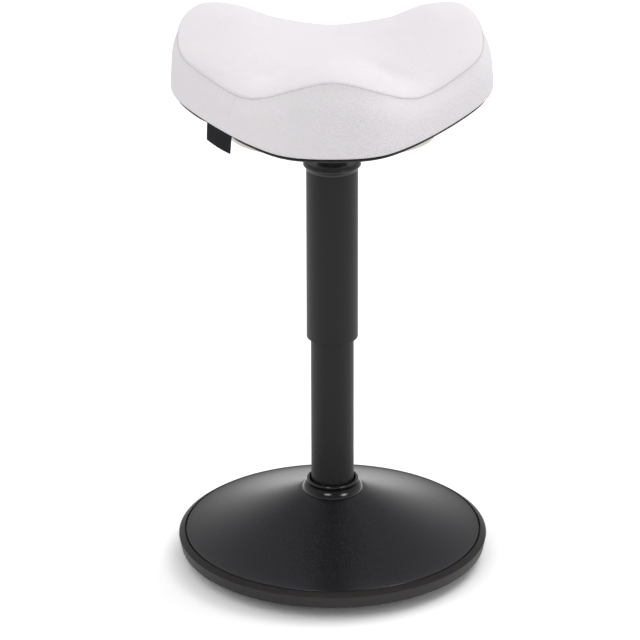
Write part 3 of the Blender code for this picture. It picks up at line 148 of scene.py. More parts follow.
# Directions of the two soft boxes that glossy pieces show, and the cosines at their soft edges
SOFT_BOXES = ((-0.271, -0.639, 0.719), (0.630, -0.567, 0.530))
BOX_EDGE = (0.978, 0.990)
# Where gloss sees the walls pass into the ceiling, and the front of the room into its sides
WALL_TO_CEILING, FRONT_TO_SIDES = (0.05, 0.75), (-0.75, 0.0)
FLOOR_HALF = 30.0
# Grey of the floor for the light that it throws back
FLOOR_TONE = 0.80
CAMERA_PLACE = (0.0006, -5.0436, 2.46)
CAMERA_AIM = (-0.01463, 0.0, 0.30453)
CAMERA_ROLL = math.radians(-0.15)


def linear(digits):
    """Linear red, green and blue of an sRGB colour written as six hex digits."""
    parts = [int(digits[place:place + 2], 16) / 255.0 for place in (0, 2, 4)]
    return [part / 12.92 if part <= 0.04045 else ((part + 0.055) / 1.055) ** 2.4 for part in parts]


def amount(name, description, default, **settings):
    return bpy.props.FloatProperty(name=name, description=description, default=default, **settings)


def length(name, description, default):
    return amount(name, description, default, unit="LENGTH", precision=4)


def share_of(name, description, default):
    return amount(name, description, default, subtype="FACTOR")


def heights(name, default):
    return bpy.props.FloatVectorProperty(
        name=name,
        description="Above the underside, at the pommel, thighs, ears, hips and back",
        default=default,
        size=len(default),
        unit="LENGTH",
    )


def colour(name, description, digits):
    return bpy.props.FloatVectorProperty(
        name=name,
        description=description,
        default=linear(digits),
        subtype="COLOR",
        size=3,
        min=0.0,
        max=1.0,
    )


class StoolSeat(bpy.types.PropertyGroup):
    """Sizes of the saddle cushion, its cover and what closes it from below."""

    bottom: length("Underside", "Height of the band's lower edge at the middle", 0.5715)
    half_width: length("Half width", "From the column's axis to either side", 0.188)
    front: length("Front", "From the column's axis to the pommel", 0.1712)
    back: length("Back", "From the column's axis to the back edge", 0.1532)
    nose: length("Nose half width", "Half width of the ellipse that rounds the pommel in plan", 0.216)
    flank: length("Flank reach", "From the column's axis square to the slanting flanks", 0.158)
    corner: amount("Corner", "Tightness of the plan's corners", 23.0)
    swell: share_of("Back swell", "How far the plan fills out behind the ears", 0.05)
    flat: length("Flat half width", "Half width of the underside's flat middle", 0.060)
    rise: length("Side rise", "How far the underside climbs to the sides", 0.0295)
    seam_inset_front: length("Seam inset, front", "Seam inside the widest outline, in front", 0.0195)
    seam_inset_side: length("Seam inset, side", "Seam inside the widest outline, at the sides", 0.0118)
    bottom_inset: length("Bottom inset", "Lower edge inside the widest outline", 0.0080)
    belly: amount("Band belly", "Above 1, the band is widest below its middle", 1.65)
    fullness: amount("Band fullness", "Higher makes the band rounder", 5.3)
    valley: length("Valley", "Height of the seat's centre above the underside", 0.0764)
    seams: heights("Seam heights", (0.088, 0.0525, 0.1017, 0.0728, 0.048))
    crests: heights("Crest heights", (0.0993, 0.0664, 0.114, 0.0846, 0.069))
    plump: length("Left ear", "How much further out the left ear is stuffed", 0.0045)
    hem: length("Hem", "Width of the cover turned under", 0.012)
    fabric: length("Fabric", "Thickness of the cover", 0.0016)
    board: length("Board", "Thickness of the seat board with its clearances", 0.0106)
    groove: length("Seam depth", "How deep the sewn seam draws in", 0.0005)
    ridge: length("Seam roll", "How far the panel's edge rolls up above the seam", 0.00035)
    slack: length("Slack", "How far the panels start below their full shape", 0.0018)
    swell_limit: length("Swell limit", "Most that a point may move as the foam fills the cover", 0.004)
    stitch_pitch: length("Stitch pitch", "From one stitch to the next", 0.0025)
    thread: length("Thread", "Radius of the sewing thread", 0.00040)


class StoolFinish(bpy.types.PropertyGroup):
    """Colours of the stool's materials."""

    fabric: colour("Fabric", "Woven cover of the seat", "F1EDF0")
    thread: colour("Thread", "Sewing thread of the seam", "CAC6C9")
    tape: colour("Tape", "Woven tape of the tab", "1C1C21")
    cream: colour("Belly cover", "Moulded cover under the seat", "DDD9D2")
    pan: colour("Pan", "Moulded pan under the seat", "141415")
    column: colour("Column", "Powder coat of the column tubes, and the moulded cap", "1F1D1F")
    cone: colour("Cone", "Moulded cone of the base", "19171C")
    gloss: colour("Collar", "Glossy moulded ring at the column's foot", "161617")
    rubber: colour("Rubber", "Rim ring and floor pad", "1A1716")


class StoolStage(bpy.types.PropertyGroup):
    """Studio and camera."""

    world: share_of("Surround", "Strength of the white surround on the stool", 0.416)
    ceiling: share_of("Ceiling", "How bright the ceiling shows in glossy pieces", 0.37)
    walls: share_of("Walls", "How bright the walls show in glossy pieces", 0.73)
    front: share_of("Front", "How bright the room behind the camera shows in glossy pieces", 0.45)
    boxes: amount("Soft boxes", "How bright they show in glossy pieces", 7.2)
    key: amount("Key", "Strength of the soft light from above, behind at the right", 0.96)
    top: amount("Top", "Strength of the broad light from above, behind at the left", 1.10)
    fill: amount("Fill", "Strength of the soft light from the front", 0.60)
    side: amount("Side", "Strength of the soft light from the right", 0.66)
    paper: amount("Paper", "How bright the camera sees the floor", 1.22)
    lens: amount("Lens", "Focal length", 259.45, unit="CAMERA")


# Mesh helpers
def mesh_from(name, verts, faces):
    mesh = bpy.data.meshes.new(name)
    mesh.from_pydata([tuple(vert) for vert in verts], [], faces)
    mesh.validate()
    mesh.update()
    return mesh


def mesh_of(name, form):
    """The mesh of a bmesh, which is freed."""
    mesh = bpy.data.meshes.new(name)
    form.to_mesh(mesh)
    form.free()
    return mesh


def smoothed(mesh, angle=40.0):
    mesh.shade_smooth()
    mesh.set_sharp_from_angle(angle=math.radians(angle))
    return mesh


def faced_outwards(mesh):
    form = bmesh.new()
    form.from_mesh(mesh)
    bmesh.ops.remove_doubles(form, verts=form.verts, dist=0.000002)
    bmesh.ops.recalc_face_normals(form, faces=form.faces)
    form.to_mesh(mesh)
    form.free()
    return mesh


def skin(rings, count, closed=False):
    """Faces that join rings of vertices, and the last ring to the first where closed."""
    faces = []
    for ring in range(rings if closed else rings - 1):
        first, second = ring * count, (ring + 1) % rings * count
        for index in range(count):
            after = (index + 1) % count
            faces.append((first + index, second + index, second + after, first + after))
    return faces


def fan(first, count, pole):
    """Faces that close a ring of vertices to one point."""
    return [(first + index, pole, first + (index + 1) % count) for index in range(count)]


def rounded(corners, steps=5):
    """A closed profile with rounded corners, each given as radius, height and rounding."""
    most = 0.48
    points = []
    for index, (radius, height, rounding) in enumerate(corners):
        here = Vector((radius, height))
        before = Vector(corners[index - 1][:2]) - here
        after = Vector(corners[(index + 1) % len(corners)][:2]) - here
        if rounding <= 0.0:
            points.append((radius, height))
            continue
        cut = rounding / math.tan(before.angle(after) / 2.0)
        cut = min(cut, before.length * most, after.length * most)
        start = here + before.normalized() * cut
        end = here + after.normalized() * cut
        for step in range(steps + 1):
            share = step / steps
            point = start * (1 - share) ** 2 + here * 2 * share * (1 - share) + end * share ** 2
            points.append((point.x, point.y))
    return points


def arc(centre, radii, start, end, count):
    turns = np.radians(np.linspace(start, end, count + 1))
    return [(centre[0] + radii[0] * math.cos(turn), centre[1] + radii[1] * math.sin(turn)) for turn in turns]


def turned(name, points, steps=160):
    """A closed profile turned round the column's axis; points on the axis become poles."""
    verts = []
    rows = []
    for radius, height in points:
        rows.append((len(verts), radius <= 0.0))
        if radius <= 0.0:
            verts.append((0.0, 0.0, height))
        else:
            for index in range(steps):
                turn = 2.0 * math.pi * index / steps
                verts.append((radius * math.cos(turn), radius * math.sin(turn), height))
    faces = []
    for (first, pole), (second, next_pole) in zip(rows, rows[1:] + rows[:1]):
        if pole and next_pole:
            continue
        for index in range(steps):
            after = (index + 1) % steps
            if pole:
                faces.append((first, second + index, second + after))
            elif next_pole:
                faces.append((first + index, second, first + after))
            else:
                faces.append((first + index, second + index, second + after, first + after))
    return smoothed(faced_outwards(mesh_from(name, verts, faces)))


def evaluated(holder):
    """The plain mesh of an object with its modifiers; the object is removed."""
    bpy.context.view_layer.update()
    graph = bpy.context.evaluated_depsgraph_get()
    mesh = bpy.data.meshes.new_from_object(holder.evaluated_get(graph))
    bpy.data.objects.remove(holder, do_unlink=True)
    return mesh


def add_holder(name, data):
    holder = bpy.data.objects.new(name, data)
    bpy.context.scene.collection.objects.link(holder)
    return holder


def combined(mesh, cutter_mesh, operation="DIFFERENCE"):
    """A mesh with another taken out of it, or added to it."""
    holder = add_holder("work", mesh)
    cutter = add_holder("cutter", cutter_mesh)
    boolean = holder.modifiers.new("cut", "BOOLEAN")
    boolean.operation = operation
    boolean.solver = "EXACT"
    boolean.object = cutter
    name = mesh.name
    result = evaluated(holder)
    bpy.data.objects.remove(cutter, do_unlink=True)
    result.name = name
    return smoothed(result)


def rods(name, places, sides=32):
    """Straight rods in one mesh, each given as radius, start and end."""
    form = bmesh.new()
    for radius, start, end in places:
        way = Vector(end) - Vector(start)
        stand = way.to_track_quat("Z", "Y").to_matrix().to_4x4()
        bmesh.ops.create_cone(
            form,
            cap_ends=True,
            segments=sides,
            radius1=radius,
            radius2=radius,
            depth=way.length,
            matrix=Matrix.Translation((Vector(start) + Vector(end)) / 2) @ stand,
        )
    return mesh_of(name, form)


def upright(places, radius, low, high):
    """Rods that stand at several places, from one height to another."""
    return [(radius, (place.x, place.y, low), (place.x, place.y, high)) for place in places]


def block(name, size, place, edge=0.0):
    """A block at a place, with its edges rounded where asked."""
    form = bmesh.new()
    bmesh.ops.create_cube(form, size=1.0)
    bmesh.ops.scale(form, verts=form.verts, vec=size)
    if edge:
        bmesh.ops.bevel(
            form,
            geom=form.edges,
            offset=edge,
            segments=6,
            profile=0.5,
            affect="EDGES",
            clamp_overlap=True,
        )
    bmesh.ops.transform(form, matrix=place, verts=form.verts)
    return mesh_of(name, form)


def pointing(way, place):
    """The place of something that points along a way."""
    return Matrix.Translation(place) @ way.to_track_quat("X", "Z").to_matrix().to_4x4()


def add_piece(name, mesh, material, body, slot, *nodes):
    """Link a finished piece that rides on a body and stands for the frame's nodes."""
    piece = add_holder(name, mesh)
    mesh.materials.clear()
    mesh.materials.append(material)
    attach(piece, body)
    if nodes:
        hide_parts(*nodes)
    return piece


def middle(node):
    low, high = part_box(node)
    return (low + high) / 2


def middles(kind):
    """The middles of four numbered nodes, such as screws."""
    return [middle(f"{kind}_{number}") for number in range(1, 5)]


# Materials
def plug(tree, node, inputs):
    """Give a node its inputs, each a value or another node's output."""
    for name, value in inputs.items():
        if isinstance(value, bpy.types.NodeSocket):
            tree.links.new(value, node.inputs[name])
        else:
            node.inputs[name].default_value = value


def add_node(tree, kind, inputs=None, **settings):
    node = tree.nodes.new(kind)
    for name, value in settings.items():
        setattr(node, name, value)
    plug(tree, node, inputs or {})
    return node


def worked_out(tree, operation, *values):
    """A product, sum or other result of values and outputs."""
    return add_node(tree, "ShaderNodeMath", dict(enumerate(values)), operation=operation).outputs[0]


def blend(tree, share, first, second, way="MIX"):
    """A colour between two others, or both laid over one another in another way."""
    inputs = {"Factor": share, 6: first, 7: second}
    return add_node(tree, "ShaderNodeMix", inputs, data_type="RGBA", blend_type=way).outputs[2]


def noise(tree, place, grain, detail):
    """Soft noise, its grain in metres."""
    inputs = {"Vector": place, "Scale": 1.0 / grain, "Detail": detail}
    return add_node(tree, "ShaderNodeTexNoise", inputs).outputs["Fac"]


def ribbing(tree, place, spacing, direction, distortion, detail=2.0, detail_scale=1.0):
    """Slightly uneven ribs, their spacing in metres."""
    inputs = {
        "Vector": place,
        "Scale": 2.0 * math.pi / (WAVE_TURNS[direction] * spacing),
        "Distortion": distortion,
        "Detail": detail,
        "Detail Scale": detail_scale,
    }
    return add_node(tree, "ShaderNodeTexWave", inputs, bands_direction=direction).outputs["Fac"]


def raised(tree, height, strength, depth):
    """The normals of a surface in fine relief, its depth in metres."""
    inputs = {"Height": height, "Strength": strength, "Distance": depth}
    return add_node(tree, "ShaderNodeBump", inputs).outputs["Normal"]


def start_material(name):
    material = bpy.data.materials.new(name)
    material.use_nodes = True
    tree = material.node_tree
    return material, tree, tree.nodes["Principled BSDF"]


def tone(base, factor):
    return (*[min(part * factor, 1.0) for part in base], 1.0)


def grained(
    name, base, roughness, grain, depth, spread=0.12, metallic=0.0, ior=1.5, stretch=(1.0, 1.0, 1.0)
):
    """A surface with a fine grain in relief, and slow drifts of colour and gloss.

    Grain and relief are in metres; the grain may be stretched, as brushing does.
    """
    if name in bpy.data.materials:
        return bpy.data.materials[name]
    material, tree, shader = start_material(name)
    drift = 0.045
    place = add_node(tree, "ShaderNodeTexCoord").outputs["Object"]
    brushed = add_node(tree, "ShaderNodeMapping", {"Vector": place, "Scale": stretch}).outputs["Vector"]
    fine = noise(tree, brushed, grain, detail=3.0)
    slow = noise(tree, place, drift, detail=2.0)
    gloss = {"From Min": 0.3, "From Max": 0.7, "To Min": roughness * 0.9, "To Max": roughness * 1.1}
    looks = {
        "Base Color": blend(tree, slow, tone(base, 1.0 - spread), tone(base, 1.0 + spread)),
        "Roughness": add_node(tree, "ShaderNodeMapRange", {"Value": fine, **gloss}).outputs["Result"],
        "Normal": raised(tree, fine, 0.6, depth),
        "Metallic": metallic,
        "IOR": ior,
    }
    plug(tree, shader, looks)
    return material


def twill_fabric(finish):
    """Polyester twill, woven: slanting ribs of yarn, matt, with a soft light fringe at its edges."""
    material, tree, shader = start_material("polyester_twill_woven")
    # The real ribs are about 0.6 mm apart; they are drawn 2.6 mm apart to show at the stool's size.
    rib, yarn, relief_depth, drift = 0.0026, 0.001625, 0.00031, 0.03
    cloth = add_node(tree, "ShaderNodeUVMap", uv_map="weave").outputs["UV"]
    crossed = add_node(tree, "ShaderNodeMapping", {"Vector": cloth, "Scale": (1.0, -1.0, 1.0)})
    ribs = ribbing(tree, cloth, rib, "DIAGONAL", 1.8, detail_scale=2.0)
    yarns = ribbing(tree, crossed.outputs["Vector"], yarn, "DIAGONAL", 0.8, detail=1.0, detail_scale=2.0)
    height = worked_out(tree, "MULTIPLY_ADD", worked_out(tree, "MULTIPLY", ribs, yarns), 0.6, ribs)
    place = add_node(tree, "ShaderNodeTexCoord").outputs["Object"]
    slow = noise(tree, place, drift, detail=3.0)
    woven = blend(tree, ribs, tone(finish.fabric, 0.98), tone(finish.fabric, 1.01))
    drifted = blend(tree, slow, (0.975, 0.97, 0.975, 1.0), (1.0, 1.0, 1.0, 1.0))
    cover = blend(tree, 1.0, woven, drifted, "MULTIPLY")
    # Painted shade: the cloth's colour darkens along the seam and down the join, where the folded edges lie
    # in shadow.
    seam = add_node(tree, "ShaderNodeAttribute", attribute_name="seam").outputs["Fac"]
    looks = {
        "Base Color": blend(tree, seam, cover, tone(finish.fabric, 0.93)),
        "Normal": raised(tree, height, 0.6, relief_depth),
        "Roughness": 0.9,
        "Specular IOR Level": 0.25,
        "Sheen Weight": 0.12,
        "Sheen Roughness": 0.5,
    }
    plug(tree, shader, looks)
    return material


def woven_tape(finish):
    """Polyester tape, woven: fine ribs across, matt black, with a painted highlight on each rib and painted
    shade between them.
    """
    material, tree, shader = start_material("polyester_tape_woven")
    # The real ribs are about 0.4 mm apart; they are drawn 1.2 mm apart to show.
    rib, relief_depth = 0.0012, 0.0001
    cloth = add_node(tree, "ShaderNodeUVMap", uv_map="weave").outputs["UV"]
    ribs = ribbing(tree, cloth, rib, "Y", 0.4)
    looks = {
        # Painted highlight on each rib and painted shade between them, in the tape's colour
        "Base Color": blend(tree, ribs, tone(finish.tape, 0.7), tone(finish.tape, 1.3)),
        "Normal": raised(tree, ribs, 0.5, relief_depth),
        "Roughness": 0.75,
        "Specular IOR Level": 0.2,
    }
    plug(tree, shader, looks)
    return material


def plywood():
    """Birch plywood, peeled and glued: pale plies with thin dark glue lines at the edge."""
    material, tree, shader = start_material("birch_plywood_peeled")
    ply = 0.0014
    place = add_node(tree, "ShaderNodeTexCoord").outputs["Object"]
    layers = ribbing(tree, place, ply, "Z", 0.5)
    shade = blend(tree, layers, tone(linear("A98558"), 1.0), tone(linear("D9BE93"), 1.0))
    plug(tree, shader, {"Base Color": shade, "Roughness": 0.6})
    return material


def black_polypropylene(finish):
    # Moulded against a spark-eroded tool: an even, dull grain.
    return grained("polypropylene_black_moulded", finish.pan, roughness=0.50, grain=0.0009, depth=0.00005)


def off_white_polypropylene(finish):
    # Moulded in the same way: warm off-white, with a fine dull grain.
    name = "polypropylene_off_white_moulded"
    return grained(name, finish.cream, roughness=0.45, grain=0.0010, depth=0.00004, spread=0.03)


def spun_thread(finish):
    # Spun polyester: soft, and greyer than the cloth, the grey partly painted shade of the stitch holes, so
    # that the stitches read as dots.
    name = "polyester_thread_spun"
    return grained(name, finish.thread, roughness=0.7, grain=0.0006, depth=0.00005, spread=0.06)


def powder_coat(finish):
    # Baked powder: a satin skin with a faint orange peel of about 1.5 mm.
    name = "steel_powder_coated_black"
    return grained(name, finish.column, roughness=0.48, grain=0.0015, depth=0.00002, spread=0.06, ior=1.33)


def satin_abs(finish):
    # Moulded satin: smooth, with a soft broad sheen that brightens towards grazing light.
    name = "abs_satin_black_moulded"
    return grained(name, finish.cone, roughness=0.29, grain=0.0010, depth=0.00001, spread=0.06)


def satin_cap(finish):
    # Moulded satin, duller than the cone: broad soft reflections of the pan above it.
    name = "abs_satin_black_cap"
    return grained(name, finish.column, roughness=0.38, grain=0.0010, depth=0.00001, spread=0.06)


def gloss_nylon(finish):
    # Moulded in a polished tool: small sharp highlights on a deep black.
    name = "nylon_gloss_black_moulded"
    return grained(name, finish.gloss, roughness=0.16, grain=0.004, depth=0.00001, spread=0.05)


def rubber(finish):
    # Moulded rubber: slightly warm, dull, with a fine dusty bloom.
    name = "rubber_black_moulded"
    return grained(name, finish.rubber, roughness=0.52, grain=0.0012, depth=0.00004, spread=0.15)


def zinc_plate():
    # Electroplated: pale grey metal with a fine cloudy grain.
    base = linear("C6C4BD")
    return grained("steel_zinc_plated", base, 0.34, grain=0.0012, depth=0.00002, spread=0.08, metallic=1.0)


def ground_steel():
    # Ground round: bright, with fine rings from the wheel.
    return grained(
        "steel_ground",
        linear("D2D2D3"),
        roughness=0.20,
        grain=0.0008,
        depth=0.00001,
        spread=0.04,
        metallic=1.0,
        stretch=(0.1, 0.1, 1.0),
    )


def cast_iron():
    # Sand cast: dark, dull and pitted.
    base = linear("5A5957")
    return grained("iron_sand_cast", base, 0.68, grain=0.0020, depth=0.00025, spread=0.2, metallic=1.0)


def sintered_brass():
    # Pressed from powder: yellow metal with a fine open grain.
    base = linear("C9A866")
    return grained("brass_sintered", base, 0.42, grain=0.0007, depth=0.00005, spread=0.1, metallic=1.0)


# Seat form
def smooth(share):
    share = np.clip(share, 0.0, 1.0)
    return share * share * (3.0 - 2.0 * share)


def round_the_seat(angle, values):
    """A height at each angle, on a smooth curve from pommel to thigh, ear, hip and back."""
    away = np.abs(np.degrees(np.arctan2(np.sin(angle), np.cos(angle))))
    values = np.array(values)
    spans = np.diff(STOPS)
    grades = np.diff(values) / spans
    slopes = np.zeros(5)
    for index, (before, after) in enumerate(zip(grades, grades[1:]), 1):
        if before * after > 0.0:
            slopes[index] = 2.0 * before * after / (before + after)
    index = np.clip(np.searchsorted(STOPS, away, side="right") - 1, 0, 3)
    share = (away - STOPS[index]) / spans[index]
    height = values[index] + (values[index + 1] - values[index]) * smooth(share)
    height += spans[index] * slopes[index] * share * (1.0 - share) ** 2
    return height - spans[index] * slopes[index + 1] * share ** 2 * (1.0 - share)


def front_radius(seat, away):
    """The front of the plan: a round nose, slanting flanks and straight sides, with soft corners between."""
    sideways = np.sin(away)
    side = sideways / seat.half_width
    flank = np.cos(away - math.pi / 4) / seat.flank
    nose = np.hypot(sideways / seat.nose, np.cos(away) / seat.front)
    return (side ** seat.corner + flank ** seat.corner + nose ** seat.corner) ** (-1.0 / seat.corner)


def plan_radius(seat, angle):
    """The widest outline of the band in plan, slanting in front and a full ellipse behind."""
    away = np.abs(np.arctan2(np.sin(angle), np.cos(angle)))
    ellipse = 1.0 / np.hypot(np.sin(angle) / front_radius(seat, math.pi / 2), np.cos(angle) / seat.back)
    behind = ellipse * (1.0 + seat.swell * np.sin(2.0 * angle) ** 2)
    return np.where(np.cos(angle) > 0.0, front_radius(seat, np.minimum(away, math.pi / 2)), behind)


def dish(seat, angle, share):
    """Height inside the crest: each wave round the seat fades out towards its centre."""
    spots = np.pi * (np.arange(180) + 0.5) / 180.0
    crest = round_the_seat(spots, seat.crests)
    inwards = 1.0 - share * share
    height = seat.valley + (crest.mean() - seat.valley) * (1.0 - inwards * inwards)
    for wave in range(1, CREST_WAVES + 1):
        part = 2.0 * (crest * np.cos(wave * spots)).mean()
        height = height + part * share ** wave * (1.0 + wave / 2 * inwards) * np.cos(wave * angle)
    return height


def side_rise(seat, x):
    share = (np.abs(x) - seat.flat) / (seat.half_width - seat.flat)
    return seat.rise * np.maximum(share, 0.0) ** 2


def bottom_radius(seat, angle):
    return plan_radius(seat, angle) - seat.bottom_inset


def seat_points(angle, radius, height):
    parts = (radius * np.sin(angle), -radius * np.cos(angle), height)
    return np.stack(np.broadcast_arrays(*parts), axis=-1)


def seat_angles():
    """Angles round the seat, closest over the pommel and thighs and at the band's join."""
    runs = ((0.0, 44.0, 0.6), (44.0, 72.0, 1.0), (72.0, 180.0, 2.0))
    half = np.concatenate([np.arange(*run) for run in runs])
    beside = np.array((0.1, 0.2, 0.35, 0.55, 0.9))
    join = JOIN_ANGLE + np.concatenate([-beside, [0.0], beside])
    every = np.concatenate([-half[1:], half, [180.0], join])
    return np.radians(np.unique(np.round(every, 3)))


def cover_profile(seat, angle):
    """Radius and height close together down the cover at one angle, and the seam's place in them."""
    widest = float(plan_radius(seat, angle))
    sideways = abs(math.sin(angle))
    seam_radius = widest - seat.seam_inset_front + (seat.seam_inset_front - seat.seam_inset_side) * sideways
    low_radius = widest - seat.bottom_inset
    low = float(side_rise(seat, low_radius * math.sin(angle)))
    seam = float(round_the_seat(np.array(angle), seat.seams))
    crest = float(dish(seat, angle, 1.0))
    share = np.linspace(0.0, 1.0, 400)
    out = math.sin(ROLL_TURN) * np.clip((share - CREST_SHARE) / (1.0 - CREST_SHARE), 0.0, 1.0)
    drop = (1.0 - np.cos(np.arcsin(out))) / (1.0 - math.cos(ROLL_TURN))
    sat = dish(seat, angle, np.minimum(share / CREST_SHARE, 1.0))
    top_height = np.where(share <= CREST_SHARE, sat, crest - (crest - seam) * drop)
    down = np.linspace(0.0, 1.0, 200)[1:]
    bulge = 1.0 - np.abs(2.0 * down ** seat.belly - 1.0) ** seat.fullness
    band_radius = seam_radius + (low_radius - seam_radius) * down
    band_radius += bulge * (widest - (seam_radius + low_radius) / 2)
    radius = np.concatenate([seam_radius * share, band_radius])
    height = np.concatenate([top_height, seam + (low - seam) * down])
    return radius, height, len(share) - 1


def cover_rings(seat):
    """Points, outward normals, distances from the seam and shares of slack, by station and angle."""
    angles = seat_angles()
    points, normals, away, loose = [], [], [], []
    for angle in angles:
        radius, height, seam = cover_profile(seat, angle)
        steps = np.hypot(np.diff(radius), np.diff(height))
        run = np.concatenate([[0.0], np.cumsum(steps)])
        top_length, whole = run[seam], run[-1]
        near = top_length - NEAR_TOP
        below = top_length + NEAR_BAND
        far = (top_length - NEAR_TOP[-1]) * TOP_SHARES
        rest = below[-1] + (whole - below[-1]) * BAND_SHARES
        places = np.concatenate([far[::-1], near[::-1], below, rest])
        slope_r = np.gradient(radius, run)
        slope_z = np.gradient(height, run)
        reach = np.linspace(-NORMAL_REACH, NORMAL_REACH, 13)
        turn_r = np.mean([np.interp(places + offset, run, slope_r) for offset in reach], axis=0)
        turn_z = np.mean([np.interp(places + offset, run, slope_z) for offset in reach], axis=0)
        size = np.hypot(turn_r, turn_z)
        above = top_length - places
        on_top = smooth(above / SLACK_RUN)
        on_band = np.sin(np.pi * np.clip(-above / (whole - top_length), 0.0, 1.0))
        level = seat.bottom + np.interp(places, run, height)
        points.append(seat_points(angle, np.interp(places, run, radius), level))
        normals.append(seat_points(angle, -turn_z / size, turn_r / size))
        away.append(above)
        loose.append(np.where(above > 0.0, on_top, BAND_SLACK * on_band))
    order = (1, 0, 2)
    return (
        angles,
        plumped(seat, angles, np.transpose(np.array(points), order)),
        np.transpose(np.array(normals), order),
        np.array(away).T,
        np.array(loose).T,
    )


def plumped(seat, angles, points):
    """The cover with its left ear stuffed fuller than the right one."""
    near = np.exp(-(((angles - EAR_ANGLE) / EAR_SPREAD) ** 2))
    up = smooth((points[..., 2] - seat.bottom - EAR_START) / EAR_GROWTH)
    fuller = points.copy()
    fuller[..., 0] -= seat.plump * near * up
    return fuller


def seam_station():
    return len(TOP_SHARES) + len(NEAR_TOP) - 1


def seam_relief(seat, away):
    """The sewn seam: both edges draw in, and the top panel's edge rolls up beside it."""
    sunk = -seat.groove * np.exp(-((away / GROOVE_WIDTH) ** 2))
    roll = seat.ridge * np.exp(-(((away - ROLL_PLACE) / ROLL_WIDTH) ** 2))
    return sunk + roll


def join_line(seat, angles, away, width, run):
    """1 along the line where the band's ends are joined, fading across its width and down its run."""
    across = (angles - math.radians(JOIN_ANGLE)) * plan_radius(seat, angles) / width
    on_band = np.where(away < 0.0, np.clip(1.0 + away / run, 0.0, 1.0), 0.0)
    return np.exp(-(across ** 2)) * on_band


def pucker_relief(seat, angles, away):
    """Small gathers beside the seam, and the groove where the band's ends are joined."""
    relief = -JOIN_DEPTH * join_line(seat, angles, away, JOIN_WIDTH, JOIN_RUN)
    clear = np.clip(np.abs(away) / PUCKER_CLEAR, 0.0, 1.0)
    outline = plan_radius(seat, angles) * 1000.0
    for angle, distance, tilt, half_length, half_width, height in PUCKERS:
        along = (angles - math.radians(angle)) * outline
        up = away * 1000.0 - distance
        slant = math.radians(tilt)
        lengthwise = along * math.cos(slant) + up * math.sin(slant)
        across = -along * math.sin(slant) + up * math.cos(slant)
        ridge = np.exp(-((lengthwise / half_length) ** 2) - (across / half_width) ** 2)
        relief += height / 1000.0 * ridge * clear
    return relief


def finder(points):
    """A tree that finds the nearest of many points."""
    tree = KDTree(len(points))
    for index, point in enumerate(points):
        tree.insert(point, index)
    tree.balance()
    return tree


def even_cloth(seat, start):
    """The slack cover, closed below and meshed evenly, ready for the cloth run."""
    stations, count = start.shape[:2]
    verts = np.concatenate([start.reshape(-1, 3), [[0.0, 0.0, seat.bottom]]])
    faces = [tuple(range(count))] + skin(stations, count)
    faces += fan((stations - 1) * count, count, stations * count)
    cover = add_holder("cover_work", faced_outwards(mesh_from("cover_work", verts, faces)))
    remesh = cover.modifiers.new("even_cloth", "REMESH")
    remesh.mode = "VOXEL"
    remesh.voxel_size = CLOTH_VOXEL
    return add_holder("cover_cloth", evaluated(cover))


def swelling(seat, cover, rest, held):
    """How far each point of the cloth moves while the foam presses it outwards; the cloth is removed."""
    group = cover.vertex_groups.new(name="sewn")
    group.add([int(index) for index in np.flatnonzero(held)], 1.0, "REPLACE")
    cloth = cover.modifiers.new("cloth", "CLOTH")
    for name, value in CLOTH.items():
        setattr(cloth.settings, name, value)
    cloth.settings.vertex_group_mass = "sewn"
    cloth.settings.effector_weights.gravity = 0.0
    cloth.point_cache.frame_start = 1
    cloth.point_cache.frame_end = CLOTH_STEPS
    scene = bpy.context.scene
    for step in range(1, CLOTH_STEPS + 1):
        scene.frame_set(step)
    graph = bpy.context.evaluated_depsgraph_get()
    result = cover.evaluated_get(graph).to_mesh()
    moved = np.array([vert.co for vert in result.vertices]) - rest
    scene.frame_set(1)
    bpy.data.objects.remove(cover, do_unlink=True)
    far = np.linalg.norm(moved, axis=1, keepdims=True)
    return moved * np.minimum(1.0, seat.swell_limit / np.maximum(far, 1e-9))


def filled_cover(seat, points, normals, away, loose):
    """The cover after the foam has filled it: a cloth run from a slightly slack start."""
    start = points - normals * (seat.slack * loose)[..., None]
    rings = start.reshape(-1, 3)
    cover = even_cloth(seat, start)
    rest = np.array([vert.co for vert in cover.data.vertices])
    on_cover = finder(rings)
    nearest = np.array([on_cover.find(point)[1] for point in rest])
    sewn = np.abs(away.reshape(-1)[nearest]) < SEWN_WIDTH
    tucked = rest[:, 2] < seat.bottom + side_rise(seat, rest[:, 0]) + TUCKED_HEIGHT
    moved = swelling(seat, cover, rest, sewn | tucked)
    on_cloth = finder(rest)
    neighbours, soften = 10, 0.003
    carried = np.zeros_like(rings)
    for index, point in enumerate(rings):
        found = on_cloth.find_n(point, neighbours)
        weights = np.array([1.0 / (distance + soften) ** 2 for _, _, distance in found])
        carried[index] = weights @ moved[[number for _, number, _ in found]] / weights.sum()
    settle = smooth(np.abs(away) / SETTLE_RUN)
    return start + carried.reshape(points.shape) * settle[..., None]


def hem_rings(seat, angles):
    """The cover's lower edge, turned under, and the skin up and over the seat board."""
    low = bottom_radius(seat, angles)
    inside = low - seat.fabric - HEM_ROOM
    over = seat.fabric + seat.board
    run = (
        (low - HEM_ROUND, 0.0),
        (low - seat.hem, 0.0),
        (low - seat.hem, seat.fabric),
        (inside, seat.fabric),
        (inside, over),
        (low * 0.66, over),
        (low * 0.33, over),
    )
    rings = []
    for radius, up in run:
        level = seat.bottom + side_rise(seat, radius * np.sin(angles)) + up
        rings.append(seat_points(angles, radius, level))
    return np.array(rings)


